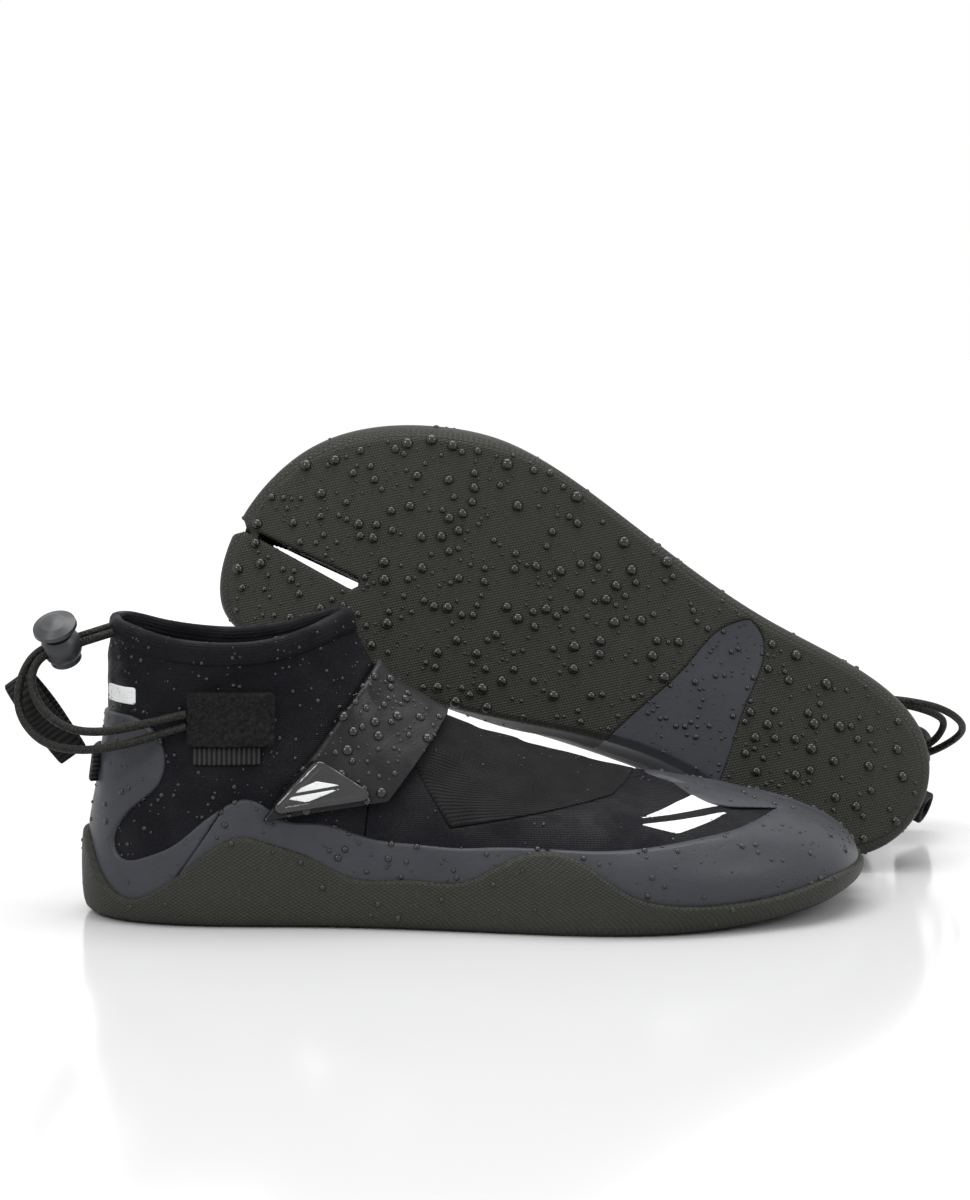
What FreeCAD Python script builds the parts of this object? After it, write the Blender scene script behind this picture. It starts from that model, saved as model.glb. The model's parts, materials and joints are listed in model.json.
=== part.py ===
import FreeCAD, Part
import math
import os

# A pair of low-cut split-toe neoprene reef boots, size EU 42, in millimetres.
# Boot frame: x runs from the back of the heel to the toes, the outer side of the foot is -y,
# z is up from the floor. The right boot stands. The left boot is its mirror image and lies
# on its inner side behind it, sole forward, toes raised.

V = FreeCAD.Vector

# Layers of the wall, each measured inwards from the outside of the outsole's wall.
OUTSOLE_FACE = 0.0
RAND_FACE = 2.0
NEOPRENE_FACE = 3.2
CAVITY_FACE = 6.2
COUNTER_FACE = 7.4

# Layers of the floor, each measured up from the tread.
OUTSOLE_THICK = 4.0
BOARD_TOP = 6.0
FOOTBED_TOP = 9.0

# The strap and its patches, as depths on the same scale as the wall's layers.
STRAP_OUTER = 0.0
STRAP_INNER = 1.4
HOOK_INNER = 2.1
LOOP_OUTER = 2.5
BADGE_OUTER = -2.2

# The tread is flat up to here, then it rises on an arc under the toes.
FLAT_END_X = 200.0
TOE_SPRING_RADIUS = 344.0

HIGH = 130.0
FAR = 90.0
RIDGE_Y = 5.0
COLLAR_BAND = 8.0

SLIT_Y = 21.7
SLIT_END_X = 229.5
SLIT_RADIUS = 2.4
SLIT_MOUTH = 0.8
SLIT_WALL = 5.0

CORD_DIAMETER = 3.0
LOCK_RADIUS = 7.2
CORD_APART = 1.7
LOCK_TRAVEL = 4.0
BUTTON_TRAVEL = 2.0

# The left boot's pose: how far its sole leans back, how far its toes rise, in degrees, and
# where the middle of its heel is before it is set down on the floor.
LEFT_LEAN = 9.0
LEFT_TOE_RAISE = 27.0
LEFT_HEEL_CENTRE = V(277.0, 67.0, 0.0)
HEEL_CENTRE_X = 33.6

# Half-widths are given at these fractions of a level's length, from the heel to the nose.
STATIONS = [0.035, 0.12, 0.30, 0.45, 0.60, 0.73, 0.83, 0.91, 0.965]

# Levels of the outer surface: height, heel x, nose x, nose y, outer and inner half-widths.
LEVELS = [
    (-4, 5.0, 258.0, 26, [17, 29, 33, 37, 45, 48, 42, 30, 15], [17, 28, 26, 29, 40, 48, 53, 53, 49]),
    (4, 0.8, 272.0, 28, [23, 34, 37, 42, 49.5, 52, 45, 32.5, 15.5], [23, 33, 29, 33, 44, 52, 57, 57.5, 53]),
    (12, 0.0, 278.4, 29, [23.5, 35, 37.5, 42.5, 50, 53, 45.5, 32.5, 15.5], [23.5, 34, 31, 35, 45, 52, 57.5, 58, 53]),
    (20, 0.0, 277.6, 28, [23.5, 35, 37.5, 42, 49.5, 52.5, 45, 32, 15], [23.5, 34, 34, 38, 45.5, 52, 57, 57, 52]),
    (28, 0.6, 271.0, 26, [23, 34.8, 37, 41, 47, 49, 42.5, 31, 14.5], [23, 34, 35, 39, 45.5, 51, 55, 54, 48]),
    (35, 1.4, 258.0, 22, [22, 34, 36, 38.5, 43, 44, 38, 27, 12], [22, 33.5, 35, 38, 43.5, 48, 50, 47, 40]),
    (42, 2.6, 237.0, 16, [21, 33, 35, 35.5, 36.5, 34, 27, 17, 6], [21, 32.5, 34.5, 36, 38.5, 39.5, 38, 33.5, 26]),
    (50, 3.8, 201.0, 9, [19, 31, 34.5, 34, 31, 26, 19.5, 12.5, 5.5], [19, 31, 34, 34, 32.5, 30, 26.5, 21.5, 15.5]),
    (60, 5.2, 164.0, 5, [16.5, 28, 33, 32.5, 29, 24, 18.5, 12.5, 7], [16.5, 28, 33, 32.5, 30, 26.5, 22.5, 17.5, 12]),
    (70, 6.4, 132.0, 2, [14.5, 25, 31.5, 31.5, 28.5, 24, 19, 13.5, 8], [14.5, 25, 31.5, 31.5, 29.5, 25.5, 21, 16, 10.5]),
    (84, 7.2, 110.0, 0, [12.5, 22, 30, 31.5, 30, 26, 21, 15.5, 9.5], [12.5, 22, 30, 31.5, 30, 26, 21, 15.5, 9.5]),
    (98, 7.6, 101.0, 0, [12, 21, 29.5, 32, 31.5, 28, 23.5, 17.5, 11], [12, 21, 29.5, 32, 31.5, 28, 23.5, 17.5, 11]),
    (112, 7.6, 97.0, 0, [12, 21, 29.5, 32.5, 32, 29, 24.5, 18.5, 12], [12, 21, 29.5, 32.5, 32, 29, 24.5, 18.5, 12]),
]

# Side-view outlines, (x, z).
COLLAR_LINE = [(-20, 105.5), (8, 105), (25, 101), (52, 98), (78, 101), (97, 107), (125, 109)]
OUTSOLE_EDGE = [(-20, 34), (-1, 32), (4, 23.5), (9, 14.5), (17, 9.3), (27, 12), (40, 21.5), (52, 30),
                (58, 32), (65, 30.5), (83, 24.5), (96, 18.2), (118, 17.8), (134, 17.5), (148, 24),
                (158, 28), (170, 28), (180, 23), (191, 15.5), (208, 11), (228, 10.6), (247, 12.3),
                (266, 15.6), (290, 15)]
HEEL_CAP_EDGE = [(-20, 71), (7, 71.5), (20, 71.5), (29, 66), (32.3, 57), (29.5, 48.5), (21, 41),
                 (15, 34), (13, 28), (15.5, 23), (25, 24), (35, 28.5), (45, 36.5), (53, 41.8)]
RAND_SEAM = [(53, 41.8), (36.5, 18), (33, -10)]
RAND_EDGE = [(53, 41.8), (60, 44.2), (66, 42.6), (73, 37.5), (86, 36), (104, 31.2), (118, 29.8),
             (133, 28.8), (148, 29.4), (164, 29.2)]
TOE_EDGE_OUTER = [(164.6, 29.2), (190, 29), (212, 31), (234, 33.6), (248, 35.6)]
TOE_EDGE_TOP = [(248, 35.6), (236, 37.4), (224, 39.7), (215, 44), (207, 49), (203, 60)]
TOE_EDGE_INNER = [(164.6, 29.2), (178, 31.5), (190, 36.5), (200, 44), (203, 60)]
INSTEP_PANEL = [(114, 130), (112, 66), (131, 35), (160, 39.5), (188, 43.5), (203, 52), (208, 130)]
ANKLE_SEAM = [(96, -10), (103, 44), (124, 130)]

STRAP_BACK = [(66, 37), (87, 62), (106, 88), (112, 130)]
STRAP_FRONT = [(142, 130), (130, 70), (121, 58), (110, 44)]
STRAP_HINGE = (V(106.5, RIDGE_Y, 89.5), V(131.5, RIDGE_Y, 70.7))
PATCH_OUTLINE = [(76, 49.5), (103, 49.5), (116, 66), (92, 66)]
BADGE_OUTLINE = [(66.5, 39), (106.5, 45.5), (85.5, 58.5)]


def smooth_value(points, at):
    """Value of a smooth curve through (position, value) pairs, with no overshoot."""
    count = len(points)
    slopes = []
    for i in range(count - 1):
        slopes.append((points[i + 1][1] - points[i][1]) / (points[i + 1][0] - points[i][0]))
    tangents = [slopes[0]]
    for i in range(1, count - 1):
        if slopes[i - 1] * slopes[i] <= 0:
            tangents.append(0.0)
        else:
            tangents.append(2 * slopes[i - 1] * slopes[i] / (slopes[i - 1] + slopes[i]))
    tangents.append(slopes[-1])
    at = min(max(at, points[0][0]), points[-1][0])
    i = 0
    while i < count - 2 and at > points[i + 1][0]:
        i += 1
    span = points[i + 1][0] - points[i][0]
    t = (at - points[i][0]) / span
    start = points[i][1] * (1 + 2 * t) * (1 - t) ** 2 + tangents[i] * span * t * (1 - t) ** 2
    end = points[i + 1][1] * t * t * (3 - 2 * t) + tangents[i + 1] * span * t * t * (t - 1)
    return start + end


def level_columns():
    """Each number of a level as a curve over height."""
    columns = {"heel": [], "nose": [], "nose_y": [], "outer": [], "inner": []}
    for height, heel, nose, nose_y, outer, inner in LEVELS:
        columns["heel"].append((height, heel))
        columns["nose"].append((height, nose))
        columns["nose_y"].append((height, nose_y))
    for side, place in (("outer", 4), ("inner", 5)):
        for k in range(len(STATIONS)):
            columns[side].append([(level[0], level[place][k]) for level in LEVELS])
    return columns


COLUMNS = level_columns()


def stretch(column, height):
    """How much further a layer's depth reaches when it is measured level instead of square."""
    slope = (smooth_value(column, height + 1) - smooth_value(column, height - 1)) / 2
    return math.sqrt(1 + slope * slope)


def level_outline(height, depth):
    """Points around the boot's wall at one height, moved inwards by a layer's depth."""
    heel = smooth_value(COLUMNS["heel"], height) + depth
    nose_column = COLUMNS["nose"]
    nose = smooth_value(nose_column, height) - depth * stretch(nose_column, height)
    nose_y = smooth_value(COLUMNS["nose_y"], height)
    sides = {}
    for side, sign in (("outer", -1), ("inner", 1)):
        widths = [smooth_value(column, height) for column in COLUMNS[side]]
        widest = max(range(len(widths)), key=lambda k: widths[k])
        shrink = 1 - depth * stretch(COLUMNS[side][widest], height) / widths[widest]
        points = []
        for fraction, width in zip(STATIONS, widths):
            centre = nose_y * max(0.0, (fraction - 0.6) / 0.4) ** 2
            half = (width - sign * centre) * shrink
            points.append(V(heel + fraction * (nose - heel), centre + sign * half, height))
        sides[side] = points
    heel_point = [V(heel, 0, height)]
    nose_point = [V(nose, nose_y, height)]
    return heel_point + sides["outer"] + nose_point + sides["inner"][::-1]


def smooth_loop(points):
    """A closed smooth wire through the points."""
    curve = Part.BSplineCurve()
    curve.interpolate(points, PeriodicFlag=True)
    return Part.Wire(curve.toShape())


def prism_from_edges(edges, low_y, high_y):
    """Solid between two y planes, from edges that close up in the plane y = 0."""
    face = Part.Face(Part.Wire(edges))
    face.translate(V(0, low_y, 0))
    return face.extrude(V(0, high_y - low_y, 0))


def side_curve(points):
    """A smooth edge through side-view points."""
    curve = Part.BSplineCurve()
    curve.interpolate([V(x, 0, z) for x, z in points])
    return curve.toShape()


def side_lines(points):
    """Straight edges through side-view points."""
    corners = [V(x, 0, z) for x, z in points]
    return [Part.LineSegment(a, b).toShape() for a, b in zip(corners, corners[1:])]


def side_prism(curves, corners, low_y, high_y):
    """Prism whose outline is smooth curves in a row, closed by straight lines over corners."""
    edges = [side_curve(points) for points in curves]
    closing = [curves[-1][-1]] + corners + [curves[0][0]]
    return prism_from_edges(edges + side_lines(closing), low_y, high_y)


def polygon_prism(points, low_y, high_y):
    """Prism of a straight-sided side-view outline."""
    return prism_from_edges(side_lines(points + [points[0]]), low_y, high_y)


def toe_spring(x):
    """Height of the tread above the floor under the toes."""
    ahead = x - FLAT_END_X
    return TOE_SPRING_RADIUS - math.sqrt(TOE_SPRING_RADIUS ** 2 - ahead ** 2)


def raised_floor(raise_by):
    """Everything below the floor layer that starts this far above the tread."""
    start = V(FLAT_END_X, 0, raise_by)
    middle = V(250, 0, raise_by + toe_spring(250))
    end = V(300, 0, raise_by + toe_spring(300))
    rise = Part.Arc(start, middle, end).toShape()
    around = [(300, end.z), (300, -60), (-40, -60), (-40, raise_by), (FLAT_END_X, raise_by)]
    return prism_from_edges([rise] + side_lines(around), -FAR, FAR)


def last_body(depth, raise_by):
    """Solid of the boot inside one wall layer and above one floor layer."""
    wires = [smooth_loop(level_outline(level[0], depth)) for level in LEVELS]
    return Part.makeLoft(wires, True, False).cut(raised_floor(raise_by))


def slit_prism(margin):
    """The gap between the big toe's pocket and the others, widened by a margin."""
    inner = SLIT_RADIUS + margin
    mouth = SLIT_MOUTH + margin
    back = V(SLIT_END_X, SLIT_Y, -20)
    start = back + V(0, -inner, 0)
    turn = back + V(-inner, 0, 0)
    end = back + V(0, inner, 0)
    far = [V(272, SLIT_Y + mouth, -20), V(276, SLIT_Y + mouth, -20), V(284, SLIT_Y + mouth + 6, -20)]
    near = [V(284, SLIT_Y - mouth - 6, -20), V(276, SLIT_Y - mouth, -20), V(272, SLIT_Y - mouth, -20)]
    corners = [end] + far + near + [start]
    edges = [Part.Arc(start, turn, end).toShape()]
    edges += [Part.LineSegment(a, b).toShape() for a, b in zip(corners, corners[1:])]
    return Part.Face(Part.Wire(edges)).extrude(V(0, 0, HIGH + 20))


def arch_window():
    """The fin-shaped window of the outsole under the arch."""
    front = Part.BSplineCurve()
    front.interpolate([V(90, -34, -20), V(97, -27, -20), V(103, -8, -20), V(112, 16, -20), V(126, 60, -20)])
    rear = Part.BSplineCurve()
    rear.interpolate([V(72, 60, -20), V(74, 16, -20), V(77, -4, -20), V(84, -31, -20), V(90, -34, -20)])
    close = Part.LineSegment(V(126, 60, -20), V(72, 60, -20)).toShape()
    wire = Part.Wire([front.toShape(), close, rear.toShape()])
    return Part.Face(wire).extrude(V(0, 0, 20 + 26))


class Layers:
    """The boot's nested solids, each made once."""

    def __init__(self):
        self.made = {}

    def __call__(self, depth, raise_by):
        if (depth, raise_by) not in self.made:
            self.made[(depth, raise_by)] = last_body(depth, raise_by)
        return self.made[(depth, raise_by)]


layer = Layers()


def shell(outer, inner):
    """Wall between two depths, standing on the outsole's floor."""
    return layer(outer, OUTSOLE_THICK).cut(layer(inner, OUTSOLE_THICK))


def below_outsole_edge():
    return side_prism([OUTSOLE_EDGE], [(290, -30), (-20, -30)], -FAR, FAR)


def under_collar(lowered):
    line = [(x, z - lowered) for x, z in COLLAR_LINE]
    return side_prism([line], [(300, line[-1][1]), (300, -30), (-20, -30)], -FAR, FAR)


def sole_pieces():
    """Outsole, arch panel, lasting board and footbed."""
    walls = layer(OUTSOLE_FACE, 0).cut(layer(RAND_FACE, OUTSOLE_THICK))
    outsole = walls.common(below_outsole_edge()).cut(slit_prism(0)).cut(arch_window())
    recessed = layer(0.8, 0.8).cut(layer(RAND_FACE, OUTSOLE_THICK))
    arch = recessed.common(below_outsole_edge()).common(arch_window())
    inside = layer(CAVITY_FACE, OUTSOLE_THICK).cut(slit_prism(SLIT_WALL))
    board = inside.cut(layer(CAVITY_FACE, BOARD_TOP))
    footbed = inside.common(layer(CAVITY_FACE, BOARD_TOP)).cut(layer(CAVITY_FACE, FOOTBED_TOP))
    return {"outsole": outsole, "arch_panel": arch, "lasting_board": board, "footbed": footbed}


def rubber_pieces():
    """Heel cap, the two side rands and the toe cap: grey rubber over the neoprene."""
    skin = shell(RAND_FACE, NEOPRENE_FACE).cut(slit_prism(0))
    heel_zone = side_prism([HEEL_CAP_EDGE], RAND_SEAM[1:] + [(-20, -10)], -FAR, FAR)
    rand_zone = side_prism([RAND_EDGE], [(164, -10)] + RAND_SEAM[:0:-1], -FAR, FAR)
    gap = 0.6
    toe_corners = [(300, 60), (300, -10), (164 + gap, -10)]
    toe_outer = side_prism([TOE_EDGE_OUTER, TOE_EDGE_TOP], toe_corners, -FAR, RIDGE_Y)
    toe_inner = side_prism([TOE_EDGE_INNER], toe_corners, RIDGE_Y, FAR)
    outer_half = Part.makeBox(400, FAR, 200, V(-50, -FAR, -20))
    rand = skin.common(rand_zone)
    toe = skin.common(toe_outer).fuse(skin.common(toe_inner))
    return {
        "heel_cap": skin.common(heel_zone),
        "lateral_rand": rand.common(outer_half),
        "medial_rand": rand.cut(outer_half),
        "toe_cap": toe.removeSplitter(),
    }


def neoprene_pieces():
    """The ankle's two quarters, the vamp, the instep panel, the collar binding and the counter."""
    hollow = layer(CAVITY_FACE, OUTSOLE_THICK).cut(slit_prism(SLIT_WALL))
    wall = layer(NEOPRENE_FACE, OUTSOLE_THICK).cut(hollow).cut(slit_prism(0))
    wall = wall.common(under_collar(COLLAR_BAND))
    ankle_zone = polygon_prism(ANKLE_SEAM + [(-20, 130), (-20, -10)], -FAR, FAR)
    instep_zone = polygon_prism(INSTEP_PANEL, -FAR, FAR)
    outer_half = Part.makeBox(400, FAR, 200, V(-50, -FAR, -20))
    ankle = wall.common(ankle_zone)
    front = wall.cut(ankle_zone)
    band = shell(NEOPRENE_FACE - 0.4, CAVITY_FACE + 0.4)
    band = band.common(under_collar(0)).cut(under_collar(COLLAR_BAND))
    counter = layer(CAVITY_FACE, FOOTBED_TOP).cut(layer(COUNTER_FACE, FOOTBED_TOP))
    counter = counter.common(Part.makeBox(48, 2 * FAR, 46, V(-4, -FAR, FOOTBED_TOP)))
    return {
        "ankle_lateral": ankle.common(outer_half),
        "ankle_medial": ankle.cut(outer_half),
        "vamp": front.cut(instep_zone),
        "instep_panel": front.common(instep_zone),
        "collar_binding": band,
        "heel_counter": counter,
    }


def strap_pieces():
    """The strap's sewn half and peeling half, with the hook, loop and badge."""
    outline = STRAP_BACK + STRAP_FRONT
    outer_band = polygon_prism(outline, -FAR, RIDGE_Y - 0.3)
    inner_band = polygon_prism([(76, 47), (87, 62), (106, 88), (112, 130), (142, 130), (130, 70),
                                (121, 58), (112, 47)], RIDGE_Y + 0.3, FAR)
    patch = polygon_prism(PATCH_OUTLINE, -FAR, 0)
    badge_zone = polygon_prism(BADGE_OUTLINE, -FAR, 0)
    return {
        "strap_anchor": shell(STRAP_OUTER, NEOPRENE_FACE).common(inner_band),
        "strap_flap": shell(STRAP_OUTER, STRAP_INNER).common(outer_band),
        "hook_patch": shell(STRAP_INNER, HOOK_INNER).common(patch),
        "loop_patch": shell(LOOP_OUTER, NEOPRENE_FACE).common(patch),
        "badge": shell(BADGE_OUTER, STRAP_OUTER).common(badge_zone),
    }


def trim_pieces():
    """Cord keeper, its webbing, the heel label and the pull loop's anchor tab."""
    keeper = shell(-0.6, NEOPRENE_FACE).common(Part.makeBox(31, FAR, 18.6, V(40, -FAR, 62.4)))
    webbing = shell(1.8, NEOPRENE_FACE).common(Part.makeBox(24, FAR, 6, V(42, -FAR, 56.2)))
    label = shell(2.6, NEOPRENE_FACE).common(Part.makeBox(11, FAR, 7, V(10.5, -FAR, 75)))
    tab = shell(-0.9, RAND_FACE).common(Part.makeBox(14, 17, 12, V(-2, -11, 47)))
    return {"keeper_patch": keeper, "keeper_webbing": webbing, "heel_label": label, "loop_tab": tab}


# The pull loop: a teardrop of webbing that stands out from the heel, seen from its broad side.
LOOP_ROOT = V(-1.2, -4.0, 54.0)
LOOP_REACH = {"right": V(-0.58, 0.0, 0.815), "left": V(-0.20, 0.0, 0.98)}
LOOP_LENGTH = 34.0
LOOP_BULGE = 4.6
WEBBING_WIDTH = 11.0
WEBBING_THICK = 1.5


def teardrop(reach, grow):
    """Closed outline of the loop along its reach, grown outwards."""
    half = LOOP_BULGE + grow
    points = []
    for part, width in ((0.3, 0.62), (0.72, 1.0)):
        points.append(LOOP_ROOT + reach * (LOOP_LENGTH * part) + V(0, half * width, 0))
    points.append(LOOP_ROOT + reach * (LOOP_LENGTH + grow))
    for part, width in ((0.72, 1.0), (0.3, 0.62)):
        points.append(LOOP_ROOT + reach * (LOOP_LENGTH * part) - V(0, half * width, 0))
    return smooth_loop([LOOP_ROOT + reach * (3.0 - grow)] + points)


def pull_loop(side):
    """Folded webbing, open in the middle."""
    reach = unit(LOOP_REACH[side])
    wide = V(reach.z, 0, -reach.x)
    ring = Part.Face(teardrop(reach, WEBBING_THICK)).cut(Part.Face(teardrop(reach, 0)))
    ring = ring.Faces[0]
    ring.translate(wide * (-WEBBING_WIDTH / 2))
    return ring.extrude(wide * WEBBING_WIDTH)


# Cord lock: where its middle is, which way the cords run through it and which way it is pressed.
LOCKS = {
    "right": {"centre": V(-5.0, -10.5, 95.0), "along": V(-0.95, -0.12, -0.29), "press": V(0.42, -0.38, 0.82)},
    "left": {"centre": V(1.0, -23.0, 96.0), "along": V(-0.72, -0.66, -0.22), "press": V(0.30, -0.30, 0.90)},
}

# Free stretch of each cord after the lock, to its end at the keeper patch.
CORD_ROUTES = {
    "right": {
        "upper": [V(-19.0, -13.5, 85.0), V(-20.0, -17.5, 72.5), V(-11.0, -23.5, 62.5), V(3.0, -29.0, 60.5),
                  V(17.5, -31.8, 62.9), V(29.0, -31.4, 66.2), V(40.0, -29.8, 69.4)],
        "lower": [V(-15.5, -17.5, 83.0), V(-10.5, -22.5, 73.5), V(-0.5, -26.5, 67.5), V(11.5, -30.0, 67.2),
                  V(26.0, -31.6, 70.4), V(40.0, -29.8, 73.6)],
    },
    "left": {
        "upper": [V(-11.5, -37.5, 84.0), V(-8.0, -41.5, 73.0), V(3.0, -42.0, 65.0), V(16.0, -38.5, 63.8),
                  V(28.5, -33.5, 66.0), V(40.0, -29.8, 69.4)],
        "lower": [V(-3.5, -39.0, 81.5), V(4.0, -39.5, 73.0), V(15.5, -37.0, 69.2), V(28.0, -33.0, 70.4),
                  V(40.0, -29.8, 73.6)],
    },
}


def unit(vector):
    return V(vector).normalize()


def lock_frame(side):
    """Middle, cord direction, press direction and the direction that parts the two cords."""
    lock = LOCKS[side]
    along = unit(lock["along"])
    apart = unit(along.cross(lock["press"]))
    press = unit(apart.cross(along))
    return lock["centre"], along, press, apart


def cord_points(side, which):
    """Hand-laid route of one cord, from inside the collar to the keeper patch."""
    centre, along, press, apart = lock_frame(side)
    lane = centre + apart * (CORD_APART if which == "upper" else -CORD_APART)
    return [lane - along * 19.0, lane + along * 8.5] + CORD_ROUTES[side][which]


def cord_wire(points):
    """Straight runs joined by the largest tangent arcs that the runs allow."""
    edges = []
    radii = []
    last = points[0]
    for i in range(1, len(points) - 1):
        before = points[i - 1] - points[i]
        after = points[i + 1] - points[i]
        short = min(before.Length, after.Length)
        turn = math.pi - before.getAngle(after)
        into = unit(before)
        out = unit(after)
        cut = 0.45 * short
        radius = cut / math.tan(turn / 2)
        middle = unit(into + out)
        reach = radius / math.cos(turn / 2) - radius
        first = points[i] + into * cut
        second = points[i] + out * cut
        edges.append(Part.LineSegment(last, first).toShape())
        edges.append(Part.Arc(first, points[i] + middle * reach, second).toShape())
        radii.append(round(radius, 1))
        last = second
    edges.append(Part.LineSegment(last, points[-1]).toShape())
    return Part.Wire(edges), radii


def cord_tube(side, which):
    """One strand of shock cord, with its length and radii printed."""
    points = cord_points(side, which)
    wire, radii = cord_wire(points)
    start = points[0]
    circle = Part.makeCircle(CORD_DIAMETER / 2, start, points[1] - start)
    tube = wire.makePipeShell([Part.Wire(circle)], True, False)
    expected = math.pi * CORD_DIAMETER ** 2 / 4 * wire.Length
    print(side, which, "cord length", round(wire.Length, 1), "radii", radii, "volume/expected",
          round(tube.Volume / expected, 4))
    return tube


def turned(profile, centre, axis):
    """Solid of revolution about an axis, from (radius, height) points joined by straight lines."""
    side = unit(axis.cross(V(0, 1, 0)))
    corners = [centre + side * radius + axis * height for radius, height in profile]
    edges = [Part.LineSegment(a, b).toShape() for a, b in zip(corners, corners[1:] + corners[:1])]
    return Part.Face(Part.Wire(edges)).revolve(centre, axis, 360)


def lock_pieces(side):
    """Ball-shaped lock body, its mushroom button and the spring under the button's plunger."""
    centre, along, press, apart = lock_frame(side)
    hole_radius = CORD_DIAMETER / 2 + 0.3
    slot_half = CORD_APART + hole_radius
    plunger_radius = slot_half + 0.8
    bore_radius = plunger_radius + 0.3
    rim = 4.9
    plunger_foot = -2.9
    bore_foot = plunger_foot - BUTTON_TRAVEL - 0.4
    cap_foot = rim + BUTTON_TRAVEL + 0.4
    base = Part.makeCylinder(bore_radius + 1.0, 6.4, centre - press * 6.4, press)
    body = Part.makeSphere(LOCK_RADIUS, centre).fuse(base)
    body = body.cut(Part.makeCylinder(20, 20, centre + press * rim, press))
    body = body.cut(Part.makeCylinder(bore_radius, 20, centre + press * bore_foot, press))
    for shift in (CORD_APART, -CORD_APART):
        lane = centre + apart * shift
        body = body.cut(Part.makeCylinder(hole_radius, 40, lane - along * 20, along))
        body = body.cut(Part.makeCone(hole_radius, 4.6, 6.5, lane + along * 2.5, along))
    profile = [(0, cap_foot), (6.0, cap_foot), (7.8, cap_foot + 0.9), (7.6, cap_foot + 2.3),
               (4.5, cap_foot + 3.5), (0, cap_foot + 3.9)]
    plunger = Part.makeCylinder(plunger_radius, cap_foot - plunger_foot, centre + press * plunger_foot, press)
    slot = Part.makeBox(40, 2 * slot_half, 2 * hole_radius + BUTTON_TRAVEL, V(-20, -slot_half, -hole_radius))
    slot.Placement = FreeCAD.Placement(centre, FreeCAD.Rotation(along, apart, press, "ZXY"))
    button = turned(profile, centre, press).fuse(plunger).cut(slot)
    coil = Part.makeCylinder(plunger_radius - 0.2, plunger_foot - bore_foot, centre + press * bore_foot, press)
    coil = coil.cut(Part.makeCylinder(plunger_radius - 2.0, 20, centre - press * 10, press))
    return {"lock_body": body, "lock_button": button.removeSplitter(), "lock_spring": coil}


def sewn_pieces():
    """The pieces that are alike in both boots, in the right boot's own frame."""
    pieces = {}
    for group in (sole_pieces(), rubber_pieces(), neoprene_pieces(), strap_pieces(), trim_pieces()):
        pieces.update(group)
    return pieces


def loose_pieces(side):
    """Pull loop, cords and cord lock, which lie differently on each boot."""
    pieces = lock_pieces(side)
    pieces["pull_loop"] = pull_loop(side)
    for which in ("upper", "lower"):
        pieces["cord_" + which] = cord_tube(side, which)
    return pieces


def left_placement():
    """How the mirrored boot is turned: sole forward, leaning back, toes raised."""
    lean = math.radians(LEFT_LEAN)
    rise = math.radians(LEFT_TOE_RAISE)
    up_the_sole = V(0, math.sin(lean), math.cos(lean))
    long_way = V(-math.cos(rise), 0, 0) + up_the_sole * math.sin(rise)
    inwards = V(0, math.cos(lean), -math.sin(lean))
    across = inwards.cross(long_way)
    turn = FreeCAD.Rotation(long_way, across, inwards, "XZY")
    return FreeCAD.Placement(LEFT_HEEL_CENTRE - turn.multVec(V(HEEL_CENTRE_X, 0, 0)), turn)


def mirrored(shape):
    return shape.mirror(V(0, 0, 0), V(0, 1, 0))


def pair_pieces():
    """All nodes of the pair, each boot set down on the floor, before the shift to the origin."""
    place = left_placement()
    sewn = sewn_pieces()
    right = {"right_" + name: shape for name, shape in {**sewn, **loose_pieces("right")}.items()}
    left = {}
    for name, shape in {**sewn, **loose_pieces("left")}.items():
        twin = mirrored(shape)
        twin.Placement = place.multiply(twin.Placement)
        left["left_" + name] = twin
    drop = whole_box(right).ZMin - whole_box(left).ZMin
    for shape in left.values():
        shape.translate(V(0, 0, drop))
    print("left boot set down by", round(drop, 3))
    return {**right, **left}


def whole_box(nodes):
    """Box around all nodes but the cords."""
    box = FreeCAD.BoundBox()
    for name, shape in nodes.items():
        if "_cord_" not in name:
            box.add(shape.optimalBoundingBox(False))
    return box


def origin_shift(nodes):
    """Shift that puts the bottom centre of the pair at the origin."""
    box = whole_box(nodes)
    return V(-(box.XMin + box.XMax) / 2, -(box.YMin + box.YMax) / 2, -box.ZMin)


def main():
    os.makedirs("parts", exist_ok=True)
    nodes = pair_pieces()
    shift = origin_shift(nodes)
    print("shift", shift)
    for name, shape in nodes.items():
        moved = shape.copy()
        moved.translate(shift)
        moved.exportStep(os.path.join("parts", name + ".step"))


main()
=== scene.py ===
import json
import math

import bpy
import numpy as np
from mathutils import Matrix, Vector
from mathutils.bvhtree import BVHTree


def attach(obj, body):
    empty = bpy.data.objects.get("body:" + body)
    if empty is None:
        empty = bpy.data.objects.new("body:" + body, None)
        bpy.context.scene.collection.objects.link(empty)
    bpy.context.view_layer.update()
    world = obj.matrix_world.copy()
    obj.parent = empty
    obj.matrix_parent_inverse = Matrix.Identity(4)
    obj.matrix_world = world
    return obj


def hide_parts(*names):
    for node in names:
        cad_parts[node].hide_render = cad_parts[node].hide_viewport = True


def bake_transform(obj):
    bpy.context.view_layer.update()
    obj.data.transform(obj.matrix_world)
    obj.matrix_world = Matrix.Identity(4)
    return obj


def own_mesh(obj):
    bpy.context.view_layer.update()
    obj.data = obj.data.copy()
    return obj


# A pair of wet split-toe neoprene reef boots. The right boot stands and the left one lies on its
# inner side behind it. Lengths below are millimetres in the boot's own frame (x from the heel to
# the toes, the outer side of the foot is -y, z up), and MM turns them into the frame's metres.

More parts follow.
